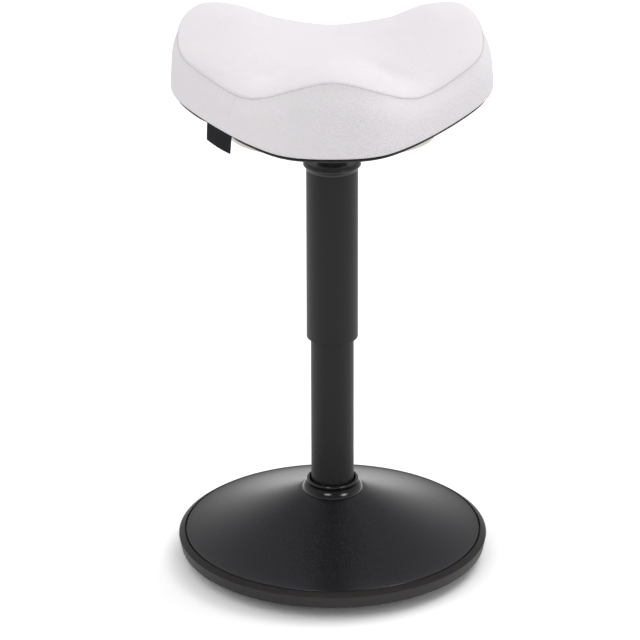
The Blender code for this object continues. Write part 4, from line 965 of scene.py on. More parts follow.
def lay_weave(mesh, seat, angles, away, verts):
    """Map the weave: round the seat on band and hem, and straight from above on the top panel."""
    count = len(angles)
    poles = len(verts) - 2
    band = seam_station() - 1
    steps = np.diff(np.append(angles, angles[0] + 2.0 * np.pi))
    around = np.concatenate([[0.0], np.cumsum(plan_radius(seat, angles) * steps)])
    flat = np.zeros((len(mesh.loops), 2))
    for face in mesh.polygons:
        numbers = list(face.vertices)
        columns = [number % count for number in numbers]
        wraps = max(columns) - min(columns) > count / 2
        on_band = max(numbers) < poles and min(numbers) // count >= band
        for loop, number, column in zip(face.loop_indices, numbers, columns):
            if on_band:
                place = around[-1] if wraps and column == 0 else around[column]
                station = min(number // count + 1, len(away) - 1)
                flat[loop] = (place, away[station, column])
            else:
                flat[loop] = verts[number][:2]
    mesh.uv_layers.new(name="weave").data.foreach_set("uv", flat.ravel())


def paint_seam_shade(mesh, seat, angles, away):
    """Mark where the cover is sewn, along the seam and down the band's join, for the painted shade that
    darkens the cloth there.
    """
    joined = JOIN_PAINTED_SHADE * join_line(seat, angles, away, JOIN_PAINTED_SHADE_WIDTH, JOIN_PAINTED_SHADE_RUN)
    sewn = np.maximum(np.exp(-((away / SEAM_PAINTED_SHADE_WIDTH) ** 2)), joined)[1:].ravel()
    shade = np.zeros(len(mesh.vertices))
    shade[: len(sewn)] = sewn
    mesh.attributes.new("seam", "FLOAT", "POINT").data.foreach_set("value", shade)


def cushion_mesh(seat):
    """The whole cushion as one closed skin, with its weave's own map and its seam marked for painted shade.
    """
    angles, points, normals, away, loose = cover_rings(seat)
    points = filled_cover(seat, points, normals, away, loose)
    points = points + normals * (seam_relief(seat, away) + pucker_relief(seat, angles, away))[..., None]
    points[-1, :, 2] += HEM_ROUND
    # The innermost ring shrinks to a point on top, and the hem's last one to a point below.
    rings = np.concatenate([points[1:], hem_rings(seat, angles)])
    stations, count = rings.shape[:2]
    top = (0.0, 0.0, points[0, :, 2].mean())
    under = (0.0, 0.0, seat.bottom + seat.fabric + seat.board)
    verts = np.concatenate([rings.reshape(-1, 3), [top, under]])
    faces = fan(0, count, stations * count) + skin(stations, count)
    faces += fan((stations - 1) * count, count, stations * count + 1)
    mesh = mesh_from("seat_cushion", verts, faces)
    lay_weave(mesh, seat, angles, away, verts)
    # Painted shade along the seam and down the band's join, kept in the seam attribute
    paint_seam_shade(mesh, seat, angles, away)
    faced_outwards(mesh).shade_smooth()
    return mesh


def seam_line(seat):
    """The sewing thread's path along the bottom of the seam."""
    _, points, normals, _, _ = cover_rings(seat)
    seam = seam_station()
    return points[seam] + normals[seam] * (seat.thread * THREAD_PROUD - seat.groove)


# Geometry Nodes
def new_tree(name, sockets):
    tree = bpy.data.node_groups.new(name, "GeometryNodeTree")
    tree.interface.new_socket("Geometry", in_out="OUTPUT", socket_type="NodeSocketGeometry")
    tree.interface.new_socket("Geometry", in_out="INPUT", socket_type="NodeSocketGeometry")
    for label, kind in sockets:
        tree.interface.new_socket(label, in_out="INPUT", socket_type=kind)
    return tree, add_node(tree, "NodeGroupInput").outputs, add_node(tree, "NodeGroupOutput")


def made_by(tree, name, data, values):
    """The plain mesh that a tree makes from an object's data and its named inputs."""
    holder = add_holder(name, data)
    modifier = holder.modifiers.new(tree.name, "NODES")
    modifier.node_group = tree
    for item in tree.interface.items_tree:
        if item.in_out == "INPUT" and item.name in values:
            modifier[item.identifier] = values[item.name]
    mesh = evaluated(holder)
    mesh.name = name
    return mesh


def hand_out(tree, out, laid, material):
    """Turn laid instances into one mesh in its material, as the tree's result."""
    real = add_node(tree, "GeometryNodeRealizeInstances", {"Geometry": laid.outputs["Instances"]})
    inputs = {"Geometry": real.outputs["Geometry"], "Material": material}
    made = add_node(tree, "GeometryNodeSetMaterial", inputs)
    plug(tree, out, {"Geometry": made.outputs["Geometry"]})


def stitch_tree():
    """Short rounded stitches laid along a curve, one pitch apart."""
    sockets = (
        ("Pitch", "NodeSocketFloat"),
        ("Stitch Length", "NodeSocketFloat"),
        ("Thread Radius", "NodeSocketFloat"),
        ("Thread", "NodeSocketMaterial"),
    )
    tree, given, out = new_tree("seam_stitches", sockets)
    places = add_node(
        tree,
        "GeometryNodeCurveToPoints",
        {"Curve": given["Geometry"], "Length": given["Pitch"]},
        mode="LENGTH",
    )
    half = worked_out(tree, "MULTIPLY", given["Stitch Length"], 0.5)
    sides = {"X": given["Thread Radius"], "Y": given["Thread Radius"], "Z": half}
    size = add_node(tree, "ShaderNodeCombineXYZ", sides)
    bead = add_node(tree, "GeometryNodeMeshUVSphere", {"Segments": 8, "Rings": 5, "Radius": 1.0})
    soft = add_node(tree, "GeometryNodeSetShadeSmooth", {"Geometry": bead.outputs["Mesh"]})
    laid = add_node(
        tree,
        "GeometryNodeInstanceOnPoints",
        {
            "Points": places.outputs["Points"],
            "Instance": soft.outputs["Geometry"],
            "Rotation": places.outputs["Rotation"],
            "Scale": size.outputs["Vector"],
        },
    )
    hand_out(tree, out, laid, given["Thread"])
    return tree


def screw_tree():
    """Cross-recess pan-head screws, heads down, one at each point."""
    sockets = (
        ("Head Radius", "NodeSocketFloat"),
        ("Head Height", "NodeSocketFloat"),
        ("Shank Radius", "NodeSocketFloat"),
        ("Shank Length", "NodeSocketFloat"),
        ("Metal", "NodeSocketMaterial"),
    )
    tree, given, out = new_tree("pan_head_screws", sockets)
    shares = {
        "crown": ("Head Radius", 0.78),
        "long arm": ("Head Radius", 1.1),
        "short arm": ("Head Radius", 0.22),
        "recess": ("Head Height", -1.45),
        "head": ("Head Height", -1.0),
        "shank": ("Shank Length", 0.5),
    }
    size = {}
    for label, (socket, share) in shares.items():
        size[label] = worked_out(tree, "MULTIPLY", given[socket], share)
    head = add_node(
        tree,
        "GeometryNodeMeshCone",
        {
            "Vertices": 32,
            "Side Segments": 3,
            "Radius Top": given["Head Radius"],
            "Radius Bottom": size["crown"],
            "Depth": given["Head Height"],
        },
    )
    cross = add_node(tree, "GeometryNodeMeshBoolean", operation="UNION", solver="EXACT")
    for across, along in (("long arm", "short arm"), ("short arm", "long arm")):
        sides = {"X": size[across], "Y": size[along], "Z": given["Head Height"]}
        arm = add_node(
            tree,
            "GeometryNodeMeshCube",
            {"Size": add_node(tree, "ShaderNodeCombineXYZ", sides).outputs["Vector"]},
        )
        tree.links.new(arm.outputs["Mesh"], cross.inputs["Mesh 2"])
    shank = add_node(
        tree,
        "GeometryNodeMeshCylinder",
        {"Vertices": 24, "Radius": given["Shank Radius"], "Depth": given["Shank Length"]},
    )
    placed = {}
    for label, form in (("head", head), ("recess", cross), ("shank", shank)):
        place = add_node(tree, "ShaderNodeCombineXYZ", {"Z": size[label]})
        moved = add_node(
            tree,
            "GeometryNodeTransform",
            {"Geometry": form.outputs["Mesh"], "Translation": place.outputs["Vector"]},
        )
        placed[label] = moved.outputs["Geometry"]
    sunk_head = add_node(tree, "GeometryNodeMeshBoolean", operation="DIFFERENCE", solver="EXACT")
    tree.links.new(placed["head"], sunk_head.inputs["Mesh 1"])
    tree.links.new(placed["recess"], sunk_head.inputs["Mesh 2"])
    whole = add_node(tree, "GeometryNodeMeshBoolean", operation="UNION", solver="EXACT")
    tree.links.new(sunk_head.outputs["Mesh"], whole.inputs["Mesh 2"])
    tree.links.new(placed["shank"], whole.inputs["Mesh 2"])
    laid = add_node(
        tree,
        "GeometryNodeInstanceOnPoints",
        {"Points": given["Geometry"], "Instance": whole.outputs["Mesh"]},
    )
    hand_out(tree, out, laid, given["Metal"])
    return tree


# Operators
class STOOL_OT_cushion(bpy.types.Operator):
    """Make the padded saddle cushion in its sewn cover"""

    bl_idname = "stool.add_cushion"
    bl_label = "Add cushion"

    def execute(self, context):
        fabric = twill_fabric(context.scene.stool_finish)
        mesh = cushion_mesh(context.scene.stool_seat)
        nodes = ("top_panel", "side_band", "foam_core")
        cushion = add_piece("seat_cushion", mesh, fabric, "seat", "off_white_fabric", *nodes)
        return {"FINISHED"}


class STOOL_OT_stitches(bpy.types.Operator):
    """Sew the seam between the top panel and the band"""

    bl_idname = "stool.add_stitches"
    bl_label = "Add stitches"

    def execute(self, context):
        seat = context.scene.stool_seat
        finish = context.scene.stool_finish
        line = seam_line(seat)
        path = bpy.data.curves.new("seam_path", "CURVE")
        path.dimensions = "3D"
        spline = path.splines.new("POLY")
        spline.points.add(len(line) - 1)
        spline.points.foreach_set("co", np.column_stack([line, np.ones(len(line))]).ravel())
        spline.use_cyclic_u = True
        thread = spun_thread(finish)
        sewn_share = 0.62
        sizes = {
            "Pitch": seat.stitch_pitch,
            "Stitch Length": seat.stitch_pitch * sewn_share,
            "Thread Radius": seat.thread,
            "Thread": thread,
        }
        mesh = made_by(stitch_tree(), "seam_stitches", path, sizes)
        add_piece("seam_stitches", mesh, thread, "seat", "off_white_fabric")
        return {"FINISHED"}


class STOOL_OT_tab(bpy.types.Operator):
    """Fold the woven tab that hangs from the seam under the band"""

    bl_idname = "stool.add_tab"
    bl_label = "Add tab"

    def fold(self, drop, thick, gap):
        """The tape's middle line, seen from its edge: down in front, round the fold and up behind."""
        front, back, centre = thick / 2, gap - thick / 2, gap / 2
        wide, deep = 0.00035, 0.0003
        run = [(front, 0.0)]
        run += [(front, -drop * share) for share in np.linspace(0.1, 0.96, 12)]
        for turn in (0.6, 1.2, 1.9, 2.5):
            run.append((centre - wide * math.cos(turn), -drop + centre - deep * math.sin(turn)))
        run += [(back, -drop * share) for share in np.linspace(0.94, 0.1, 12)]
        return np.array(run + [(back, 0.0)])

    def execute(self, context):
        seat = context.scene.stool_seat
        # Its two edges, in degrees left of the seat's front
        angles = -np.radians(np.linspace(50.3, 64.6, 25))
        inset, tucked, drop, thick, gap = 0.0004, 0.003, 0.0240, 0.0005, 0.0012
        # How far the free end curls out, its right edge tucks in, and both hang to the left
        curl, tuck, lean, less_lean = 0.0011, 0.0006, 0.0029, 0.0015
        # The curl runs a little past half a wave, and starts left of the right edge.
        waves, wave_start = 1.3, 0.1
        mapped_width = 0.034
        outer = bottom_radius(seat, angles) - inset
        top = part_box("under_pan")[0].z + tucked
        path = self.fold(drop, thick, gap)
        way = np.gradient(path, axis=0)
        way /= np.linalg.norm(way, axis=1, keepdims=True)
        side = np.stack([way[:, 1], -way[:, 0]], axis=1)
        loop = np.concatenate([path + side * thick / 2, (path - side * thick / 2)[::-1]])
        along = np.concatenate([[0.0], np.cumsum(np.linalg.norm(np.diff(path, axis=0), axis=1))])
        reach = np.concatenate([along, along[::-1]])
        verts = []
        cloth = []
        for index, (angle, radius) in enumerate(zip(angles, outer)):
            share = index / (len(angles) - 1)
            wave = math.sin(math.pi * (share * waves - wave_start))
            for (inward, down), place in zip(loop, reach):
                hang = min(-down / drop, 1.0)
                at = radius - inward + curl * hang ** 2 * wave - tuck * hang * (1.0 - share)
                height = top + float(side_rise(seat, at * math.sin(angle))) + down
                left = hang * (lean - less_lean * share)
                verts.append(seat_points(angle, at, height) - (left, 0.0, 0.0))
                cloth.append((share * mapped_width, place))
        rings, count = len(angles), len(loop)
        faces = skin(rings, count) + [tuple(range(count)), tuple(range((rings - 1) * count, rings * count))]
        mesh = mesh_from("label_tape", verts, faces)
        flat = np.array([cloth[corner.vertex_index] for corner in mesh.loops])
        mesh.uv_layers.new(name="weave").data.foreach_set("uv", flat.ravel())
        smoothed(faced_outwards(mesh), 50.0)
        tape = woven_tape(context.scene.stool_finish)
        tab = add_piece("label_tape", mesh, tape, "seat", "black_tape", "label_tab")
        return {"FINISHED"}


class STOOL_OT_underside(bpy.types.Operator):
    """Close the seat from below with its pan and belly cover"""

    bl_idname = "stool.add_underside"
    bl_label = "Add pan and belly cover"

    def execute(self, context):
        seat = context.scene.stool_seat
        finish = context.scene.stool_finish
        angles = np.linspace(0.0, 2.0 * np.pi, 160, endpoint=False)
        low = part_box("under_pan")[0].z
        self.add_pan(seat, angles, low, black_polypropylene(finish))
        self.add_belly(seat, angles, low, off_white_polypropylene(finish))
        return {"FINISHED"}

    def add_pan(self, seat, angles, low, material):
        thick, overhang, lip = 0.003, 0.0020, 0.0012
        high = low + thick
        # The edge steps back where the tab hangs down in front of it.
        tab_angle, tab_half, tab_recess = math.radians(302.5), math.radians(9.5), 0.0036
        recess = np.exp(-(((angles - tab_angle) / tab_half) ** 8))
        edge = bottom_radius(seat, angles) + overhang - tab_recess * recess
        # At the sides the lower edge reaches down as a lip.
        drop = lip * np.sin(angles) ** 4
        # Shares of the edge's radius, with the depth below the face at its rounded corner
        half = [(share, 0.0) for share in (0.02, 0.25, 0.5, 0.75, 0.9, 0.985)]
        half += [(0.994, 0.0003), (1.0, 0.0010)]
        stations = [(share, high - depth, 0.0) for share, depth in half]
        stations += [(share, low + depth, float(share > 0.95)) for share, depth in half[::-1]]
        rings = []
        for share, level, lipped in stations:
            radius = edge * share
            rise = side_rise(seat, radius * np.sin(angles))
            rings.append(seat_points(angles, radius, level - drop * lipped + rise))
        count, last = len(angles), (len(rings) - 1) * len(angles)
        faces = [tuple(range(count))] + skin(len(rings), count) + [tuple(range(last, last + count))]
        pan = smoothed(faced_outwards(mesh_from("seat_pan", np.concatenate(rings), faces)))
        bolt_hole, screw_hole, beyond = 0.0035, 0.0021, 0.004
        holes = upright(middles("seat_bolt"), bolt_hole, low - beyond, high + beyond)
        holes += upright(middles("pan_screw"), screw_hole, low - beyond, high + beyond)
        pan = combined(pan, rods("pan_holes", holes, 24))
        add_piece("seat_pan", pan, material, "seat", "black_moulding", "under_pan")

    def add_belly(self, seat, angles, pan_low, material):
        low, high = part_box("belly_cover")
        depth_share, fullness = 0.95, 0.03
        floor, half_width, half_depth = low.z, high.x, high.y * depth_share
        wall, corner, hole, edge, gap = 0.0025, 0.011, 0.0245, 0.0008, 0.0003
        swell = 1.0 + fullness * np.sin(2.0 * angles) ** 2
        outline = swell / np.hypot(np.sin(angles) / half_width, np.cos(angles) / half_depth)
        rim = pan_low - gap + side_rise(seat, outline * np.sin(angles))
        runs = []
        for reach, bend, level in ((outline, corner, floor), (outline - wall, corner - wall, floor + wall)):
            run = [(reach, rim)]
            for turn in np.radians(np.linspace(0.0, 90.0, 9)):
                run.append((reach - bend * (1.0 - math.cos(turn)), level + bend * (1.0 - math.sin(turn))))
            runs.append(run)
        outside = runs[0] + [(hole + edge, floor), (hole, floor + edge)]
        inside = runs[1] + [(hole, floor + wall)]
        rings = [seat_points(angles, radius, height) for radius, height in outside + inside[::-1]]
        faces = skin(len(rings), len(angles), closed=True)
        belly = smoothed(faced_outwards(mesh_from("seat_belly", np.concatenate(rings), faces)))
        # A notch lets the lever out through the wall.
        lever = middle("release_lever")
        way = Vector((lever.x, lever.y, 0.0)).normalized()
        room, notch_length, notch_height, notch_reach = 0.0055, 0.044, 0.05, 0.115
        spot = way * notch_reach + Vector((0.0, 0.0, lever.z - room + notch_height / 2))
        notch = block("lever_notch", (notch_length, room * 2.0, notch_height), pointing(way, spot))
        add_piece("seat_belly", combined(belly, notch), material, "seat", "off_white_moulding", "belly_cover")


class STOOL_OT_column(bpy.types.Operator):
    """Turn the column's two tubes, its cap and its taper hub"""

    bl_idname = "stool.add_column"
    bl_label = "Add column"

    def execute(self, context):
        finish = context.scene.stool_finish
        coat = powder_coat(finish)
        self.add_upper_tube(coat)
        self.add_lower_tube(coat)
        self.add_cap(satin_cap(finish))
        self.add_hub(zinc_plate())
        return {"FINISHED"}

    def add_upper_tube(self, coat):
        low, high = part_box("cover_tube")
        outer, wall = high.x, 0.0016
        tube = rounded((
            (outer - wall, high.z, 0.0003),
            (outer, high.z, 0.0003),
            (outer, low.z, 0.0006),
            (outer - wall, low.z, 0.0004),
        ))
        add_piece("upper_tube", turned("upper_tube", tube), coat, "seat", "black_powder_coat", "cover_tube")

    def add_lower_tube(self, coat):
        low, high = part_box("outer_tube")
        socket_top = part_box("hub_socket")[1].z
        outer, wall, taper, hole, floor = high.x, 0.0018, 0.001, 0.006, 0.003
        tube = rounded((
            (outer - wall, high.z, 0.0004),
            (outer, high.z, 0.0006),
            (outer, socket_top, 0.0),
            (outer - taper, low.z, 0.0006),
            (hole, low.z, 0.0003),
            (hole, low.z + floor, 0.0003),
            (outer - wall - taper, low.z + floor, 0.0004),
            (outer - wall, socket_top, 0.0),
        ))
        add_piece("lower_tube", turned("lower_tube", tube), coat, "base", "black_powder_coat", "outer_tube")

    def add_cap(self, material):
        gap, recess = 0.0003, 0.0100
        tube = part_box("cover_tube")[1]
        outer, low, high = tube.x, tube.z + gap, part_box("column_cap")[1].z
        # The ring stands proud of the tube, is rounded on top and draws in to the tube below.
        proud, depth, dome, flare_low, flare = 0.0036, 0.00515, 0.0048, 0.0022, 0.0037
        centre = (outer + proud - depth, low + flare_low + flare)
        points = arc(centre, (depth, dome), 100.0, 0.0, 10)
        for share in np.linspace(0.0, 1.0, 10)[1:]:
            points.append((outer + proud * (1.0 - smooth(share)), low + flare_low + flare * (1.0 - share)))
        points.append((outer, low))
        # A spigot holds it in the tube, and a boss stands up round the hub.
        spigot, spigot_wall, spigot_depth = outer - 0.0019, 0.0016, 0.006
        inner, boss, core, slope = outer - 0.0030, 0.0179, 0.0143, 0.0001
        points += rounded((
            (spigot, low, 0.0),
            (spigot, low - spigot_depth, 0.0004),
            (spigot - spigot_wall, low - spigot_depth, 0.0004),
            (spigot - spigot_wall, low, 0.0),
            (core, low, 0.0004),
            (core, high, 0.0005),
            (boss, high, 0.0006),
            (boss, low + recess, 0.0006),
            (inner, low + recess + slope, 0.0002),
        ), 4)
        ring = turned("column_cap_ring", points)
        add_piece("column_cap_ring", ring, material, "seat", "gloss_black_moulding", "column_cap")

    def add_hub(self, material):
        low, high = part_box("taper_hub")
        bore_top, bore_foot, neck, flange, foot = 0.0141, 0.0143, 0.020, 0.0235, 0.0185
        flange_top, flange_low = high.z - 0.0031, high.z - 0.0085
        points = rounded((
            (bore_top, high.z, 0.0003),
            (neck, high.z, 0.0006),
            (neck, flange_top, 0.0),
            (flange, flange_top, 0.0006),
            (flange, flange_low, 0.0010),
            (foot, low.z, 0.0010),
            (bore_foot, low.z, 0.0004),
        ))
        hub = turned("hub_casting", points, 96)
        add_piece("hub_casting", hub, material, "seat", "zinc_plated_steel", "taper_hub")


class STOOL_OT_base(bpy.types.Operator):
    """Turn the weighted base: pad, rocker tray, rim ring, cone and collar"""

    bl_idname = "stool.add_base"
    bl_label = "Add base"

    def underside(self, radius):
        share = (radius - ROCKER_START) / (ROCKER_END - ROCKER_START)
        return ROCKER_LOW + (ROCKER_HIGH - ROCKER_LOW) * share ** 2

    def underside_run(self, outer, inner, count):
        return [(radius, self.underside(radius)) for radius in np.linspace(outer, inner, count + 1)]

    def bead(self, radius, room):
        """The bead of the tray that holds the ring, from top to bottom."""
        height = (self.underside(TRAY_OUTSIDE) + RING_LEDGE) / 2
        return [(radius + out, height + up + math.copysign(room, up)) for out, up in BEAD_ROWS]

    def execute(self, context):
        finish = context.scene.stool_finish
        soft = rubber(finish)
        self.add_pad(soft)
        self.add_tray(black_polypropylene(finish))
        self.add_rim(soft)
        self.add_cone(satin_abs(finish))
        self.add_collar(gloss_nylon(finish))
        return {"FINISHED"}

    def add_pad(self, material):
        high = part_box("floor_pad")[1]
        edge = 0.0012
        points = [(0.0, high.z)]
        points += arc((high.x - edge, high.z - edge), (edge, edge), 90.0, 0.0, 6)
        points += arc((high.x - edge, edge), (edge, edge), 0.0, -90.0, 6)
        points.append((0.0, 0.0))
        pad = turned("base_pad", points, 128)
        add_piece("base_pad", pad, material, "base", "black_rubber", "floor_pad")

    def add_tray(self, material):
        screws = middles("base_screw")
        circle = screws[0].xy.length
        under = self.underside(circle)
        floor, slope, pocket, pocket_depth = 0.0103, 0.018, 0.0903, 0.0043
        points = [(0.0, floor), (circle - slope, floor), (circle, under + TRAY_WALL)]
        points += [(TRAY_INSIDE, self.underside(TRAY_INSIDE) + TRAY_WALL)]
        points += [(TRAY_INSIDE, TRAY_TOP), (TRAY_OUTSIDE, TRAY_TOP)]
        points += self.bead(TRAY_OUTSIDE, 0.0)
        points += self.underside_run(TRAY_OUTSIDE, pocket, 16)
        points += [(pocket, pocket_depth), (0.0, pocket_depth)]
        tray = turned("base_tray", points)
        sink, hole, below = 0.0045, 0.0021, -0.001
        wide = upright(screws, sink, below, under + TRAY_WALL / 2)
        narrow = upright(screws, hole, below, floor + TRAY_WALL)
        tray = combined(combined(tray, rods("counterbores", wide)), rods("screw_holes", narrow, 24))
        add_piece("base_tray", tray, material, "base", "black_moulding", "rocker_tray")

    def add_rim(self, material):
        radius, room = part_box("rim_ring")[1].x + 0.0002, 0.0003
        # Height of its widest edge, its lower corner, and where its underside starts
        widest, corner, corner_level, under = 0.0282, 0.1834, 0.0140, 0.1785
        corners = [
            (RING_SHOULDER, CONE_FOOT, 0.0006),
            (radius, widest, 0.0014),
            (corner, corner_level, 0.0018),
        ]
        run = self.underside_run(under, RING_INSIDE, 6) + self.bead(RING_INSIDE, room)[::-1]
        run += [(RING_INSIDE, RING_LEDGE), (RING_SHOULDER, RING_LEDGE)]
        corners += [(reach, level, 0.0) for reach, level in run]
        rim = turned("base_rim", rounded(corners, 8), 192)
        add_piece("base_rim", rim, material, "base", "black_rubber", "rim_ring")

    def add_cone(self, material):
        neck, edge, reach, rise, curve, wall = 0.038, 0.1774, 0.1777, 0.052, 1.3, 0.0025
        flange, flange_inside, skirt, skirt_low = 0.0290, 0.1649, 0.1626, 0.0210
        tube_room = 0.0043
        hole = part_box("outer_tube")[1].x + tube_room
        top = CONE_FOOT + rise

        def height(radius):
            return CONE_FOOT + rise * ((reach - radius) / (reach - neck)) ** curve

        # The slope ends in a small rounded edge above the flange.
        slope_end, round_start, round_end = edge - 0.0012, edge - 0.0005, CONE_FOOT - 0.0006
        points = [(hole, top)]
        points += [(radius, height(radius)) for radius in np.linspace(neck, slope_end, 28)]
        points += [(round_start, CONE_FOOT + 0.0001), (edge, round_end), (edge, flange)]
        points += [(flange_inside, flange), (flange_inside, skirt_low), (skirt, skirt_low)]
        points += [(radius, height(radius) - wall) for radius in np.linspace(skirt, neck + wall, 12)]
        points += [(hole, top - wall)]
        cone = turned("base_cone", points, 192)
        screws = middles("base_screw")
        boss, pilot, pilot_depth, below, room = 0.006, 0.0019, 0.007, 0.002, 0.0033
        outside = screws[0].xy.length + boss
        low, high = self.underside(outside) + room, height(outside) - wall / 3
        bosses = upright(screws, boss, low, high)
        pilots = upright(screws, pilot, low - below, low + pilot_depth)
        cone = combined(cone, rods("bosses", bosses), "UNION")
        cone = combined(cone, rods("pilots", pilots, 24))
        add_piece("base_cone", cone, material, "base", "satin_black_moulding", "cone_cover")

    def add_collar(self, material):
        low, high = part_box("base_collar")
        tube_room, sleeve_wall, lip_inset = 0.0018, 0.0022, 0.005
        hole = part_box("outer_tube")[1].x + tube_room
        sleeve = hole + sleeve_wall
        # It sits on the cone's neck: a dome with a rounded lip on top, and a sleeve down inside.
        radius, foot, top = high.x + 0.0004, low.z + 0.011, high.z + 0.003
        dome_inset, dome_drop, dome_size = 0.0075, 0.0052, (0.0085, 0.0140)
        brim, under = radius + 0.0001, foot - 0.0004
        lip = radius - lip_inset
        lip_round = (lip - hole) / 2
        points = arc((lip - lip_round, top - lip_round), (lip_round, lip_round), 150.0, -20.0, 12)
        points += arc((radius - dome_inset, foot - dome_drop), dome_size, 88.0, 24.0, 20)
        points += [(brim, under), (sleeve, under), (sleeve, low.z), (hole, low.z)]
        collar = turned("foot_collar", points)
        add_piece("foot_collar", collar, material, "base", "gloss_black_moulding", "base_collar")


class STOOL_OT_lever(bpy.types.Operator):
    """Make the height lever's rod and grip"""

    bl_idname = "stool.add_lever"
    bl_label = "Add lever"

    def execute(self, context):
        pin = middle("lever_pin")
        level = Vector((0.0, 0.0, pin.z))
        way = Vector((pin.x, pin.y, 0.0)).normalized()
        across = Vector((0.0, 0.0, 1.0)).cross(way)
        self.add_rod(pin, way, across, level)
        self.add_grip(way, level, black_polypropylene(context.scene.stool_finish))
        return {"FINISHED"}

    def add_rod(self, pin, way, across, level):
        radius, tip, end = 0.004, -0.003, 0.1495
        # Radius and half length of the barrel on the pin, and of the bore through it
        barrel, barrel_half, bore, bore_half = 0.006, 0.021, 0.0033, 0.023
        rod = rods("lever_rod", [(radius, way * tip + level, way * end + level)])
        sleeve = rods("barrel", [(barrel, pin - across * barrel_half, pin + across * barrel_half)])
        hole = rods("bore", [(bore, pin - across * bore_half, pin + across * bore_half)])
        rod = combined(combined(rod, sleeve, "UNION"), hole)
        add_piece("lever_rod", rod, zinc_plate(), "lever", "zinc_plated_steel", "release_lever")

    def add_grip(self, way, level, material):
        size, edge, place = (0.050, 0.022, 0.010), 0.0036, 0.143
        socket, start, end = 0.0043, 0.115, 0.150
        grip = block("lever_grip", size, pointing(way, way * place + level), edge)
        grip = combined(grip, rods("socket", [(socket, way * start + level, way * end + level)]))
        add_piece("lever_grip", grip, material, "lever", "black_moulding", "lever_paddle")


class STOOL_OT_screws(bpy.types.Operator):
    """Set the cross-recess screws of the pan and of the base"""

    bl_idname = "stool.add_screws"
    bl_label = "Add screws"

    def execute(self, context):
        tree = screw_tree()
        head_height, shank_radius = 0.0022, 0.0016
        for kind, body in (("pan_screw", "seat"), ("base_screw", "base")):
            nodes = [f"{kind}_{number}" for number in range(1, 5)]
            low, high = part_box(nodes[0])
            places = [(place.x, place.y, low.z + head_height) for place in middles(kind)]
            sizes = {
                "Head Radius": (high.x - low.x) / 2,
                "Head Height": head_height,
                "Shank Radius": shank_radius,
                "Shank Length": high.z - low.z - head_height,
                "Metal": zinc_plate(),
            }
            mesh = made_by(tree, f"{kind}_set", mesh_from("places", places, []), sizes)
            smoothed(faced_outwards(mesh), 35.0)
            add_piece(f"{kind}_set", mesh, zinc_plate(), body, "zinc_plated_steel", *nodes)
        return {"FINISHED"}


class STOOL_OT_inside(bpy.types.Operator):
    """Give the pieces inside the stool their own finishes"""

    bl_idname = "stool.finish_inside"
    bl_label = "Finish inside"

    def execute(self, context):
        finish = context.scene.stool_finish
        groups = (
            (plywood(), ("seat_board",)),
            (cast_iron(), ("ballast_disc",)),
            (ground_steel(), ("piston_rod", "pressure_cylinder", "lever_pin", "valve_pin", "bearing_ball")),
            (sintered_brass(), ("ball_cage", "piston", "rod_guide")),
            (rubber(finish), ("rubber_buffer",)),
            (black_polypropylene(finish), ("guide_bush", "slide_ring")),
        )
        own = {kind: material for material, kinds in groups for kind in kinds}
        for name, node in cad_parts.items():
            kind = name.rstrip("_0123456789")
            node.data.materials.clear()
            node.data.materials.append(own.get(kind, zinc_plate()))
        return {"FINISHED"}


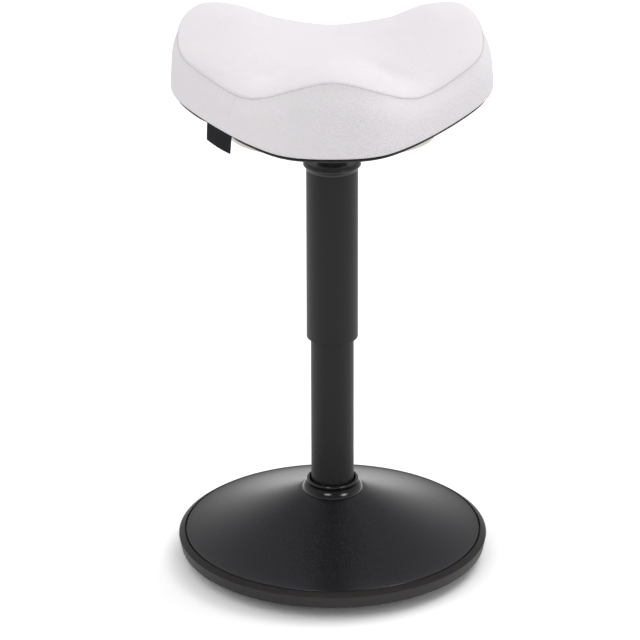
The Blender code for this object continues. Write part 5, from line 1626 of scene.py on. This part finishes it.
class STOOL_OT_stage(bpy.types.Operator):
    """Set up the pale floor, the soft light and the camera"""

    bl_idname = "stool.add_stage"
    bl_label = "Add stage"

    def execute(self, context):
        stage = context.scene.stool_stage
        context.scene.view_settings.view_transform = "Standard"
        self.add_floor(stage)
        self.add_world(context, stage)
        for name, spread, place in LAMPS:
            self.add_lamp(name, getattr(stage, name), spread, place)
        camera = add_holder("camera", bpy.data.cameras.new("camera"))
        camera.data.lens = stage.lens
        camera.data.sensor_width = 36.0
        camera.data.clip_end = 60.0
        camera.location = CAMERA_PLACE
        aim = Vector(CAMERA_AIM) - camera.location
        roll = Quaternion((0.0, 0.0, 1.0), CAMERA_ROLL)
        camera.rotation_euler = (aim.to_track_quat("-Z", "Y") @ roll).to_euler()
        context.scene.camera = camera
        return {"FINISHED"}

    def seen(self, tree):
        """1 for rays from the camera, from gloss and through glass, 0 for the stool's own light."""
        path = add_node(tree, "ShaderNodeLightPath").outputs
        share = path["Is Camera Ray"]
        for kind in ("Is Glossy Ray", "Is Transmission Ray"):
            share = worked_out(tree, "MAXIMUM", share, path[kind])
        return share

    def add_floor(self, stage):
        form = bmesh.new()
        bmesh.ops.create_grid(form, x_segments=2, y_segments=2, size=FLOOR_HALF)
        floor = add_holder("floor", mesh_of("floor", form))
        material = bpy.data.materials.new("paper_white")
        material.use_nodes = True
        tree = material.node_tree
        tree.nodes.clear()
        greys = [(grey, grey, grey, 1.0) for grey in (FLOOR_TONE, stage.paper)]
        paper = add_node(tree, "ShaderNodeBsdfDiffuse", {"Color": blend(tree, self.seen(tree), *greys)})
        add_node(tree, "ShaderNodeOutputMaterial", {"Surface": paper.outputs[0]})
        floor.data.materials.append(material)

    def add_world(self, context, stage):
        world = bpy.data.worlds.new("studio")
        world.use_nodes = True
        tree = world.node_tree
        tree.nodes.clear()
        # As gloss sees it: white walls, a darker ceiling and front, and two soft boxes.
        # The camera sees plain white.
        way = add_node(tree, "ShaderNodeTexCoord").outputs["Generated"]
        apart = add_node(tree, "ShaderNodeSeparateXYZ", {"Vector": way}).outputs
        ramps = [
            (apart["Z"], WALL_TO_CEILING, stage.walls, stage.ceiling),
            (apart["Y"], FRONT_TO_SIDES, stage.front, 1.0),
        ]
        for box in SOFT_BOXES:
            facing = add_node(tree, "ShaderNodeVectorMath", {0: way, 1: box}, operation="DOT_PRODUCT")
            ramps.append((facing.outputs["Value"], BOX_EDGE, 0.0, stage.boxes))
        parts = []
        for value, (start, end), first, last in ramps:
            ramp = add_node(
                tree,
                "ShaderNodeMapRange",
                {"Value": value, "From Min": start, "From Max": end, "To Min": first, "To Max": last},
                interpolation_type="SMOOTHSTEP",
            )
            parts.append(ramp.outputs["Result"])
        room = parts[0]
        for part, operation in zip(parts[1:], ("MULTIPLY", "ADD", "ADD")):
            room = worked_out(tree, operation, room, part)
        camera = add_node(tree, "ShaderNodeLightPath").outputs["Is Camera Ray"]
        shown = add_node(tree, "ShaderNodeMix", {"Factor": camera, 2: room, 3: 1.0})
        strength = add_node(
            tree,
            "ShaderNodeMix",
            {"Factor": self.seen(tree), 2: stage.world, 3: shown.outputs[0]},
        )
        white = (1.0, 1.0, 1.0, 1.0)
        light = add_node(tree, "ShaderNodeBackground", {"Color": white, "Strength": strength.outputs[0]})
        add_node(tree, "ShaderNodeOutputWorld", {"Surface": light.outputs[0]})
        context.scene.world = world

    def add_lamp(self, name, strength, spread, place):
        """Soft light from one side, even over the whole floor."""
        lamp = bpy.data.lights.new(name, "SUN")
        lamp.energy = strength
        lamp.angle = math.radians(spread)
        holder = add_holder(name, lamp)
        holder.location = place
        holder.rotation_euler = (-Vector(place)).to_track_quat("-Z", "Y").to_euler()
        holder.visible_glossy = False


OPERATORS = (
    STOOL_OT_cushion,
    STOOL_OT_stitches,
    STOOL_OT_tab,
    STOOL_OT_underside,
    STOOL_OT_column,
    STOOL_OT_base,
    STOOL_OT_lever,
    STOOL_OT_screws,
    STOOL_OT_inside,
    STOOL_OT_stage,
)
SETTINGS = (
    ("stool_seat", StoolSeat),
    ("stool_finish", StoolFinish),
    ("stool_stage", StoolStage),
)


class STOOL_PT_panel(bpy.types.Panel):
    """Lists the stool's pieces and sizes in the sidebar"""

    bl_idname = "STOOL_PT_panel"
    bl_label = "Saddle wobble stool"
    bl_space_type = "VIEW_3D"
    bl_region_type = "UI"
    bl_category = "Stool"

    def draw(self, context):
        for operator in OPERATORS:
            self.layout.operator(operator.bl_idname)
        for name, kind in SETTINGS:
            box = self.layout.box()
            for setting in kind.__annotations__:
                box.prop(getattr(context.scene, name), setting)


def register():
    for name, kind in SETTINGS:
        bpy.utils.register_class(kind)
        setattr(bpy.types.Scene, name, bpy.props.PointerProperty(type=kind))
    for operator in OPERATORS:
        bpy.utils.register_class(operator)
    bpy.utils.register_class(STOOL_PT_panel)


def unregister():
    bpy.utils.unregister_class(STOOL_PT_panel)
    for operator in reversed(OPERATORS):
        bpy.utils.unregister_class(operator)
    for name, kind in reversed(SETTINGS):
        delattr(bpy.types.Scene, name)
        bpy.utils.unregister_class(kind)


def main():
    register()
    for operator in OPERATORS:
        group, action = operator.bl_idname.split(".")
        getattr(getattr(bpy.ops, group), action)()


if __name__ == "__main__":
    main()
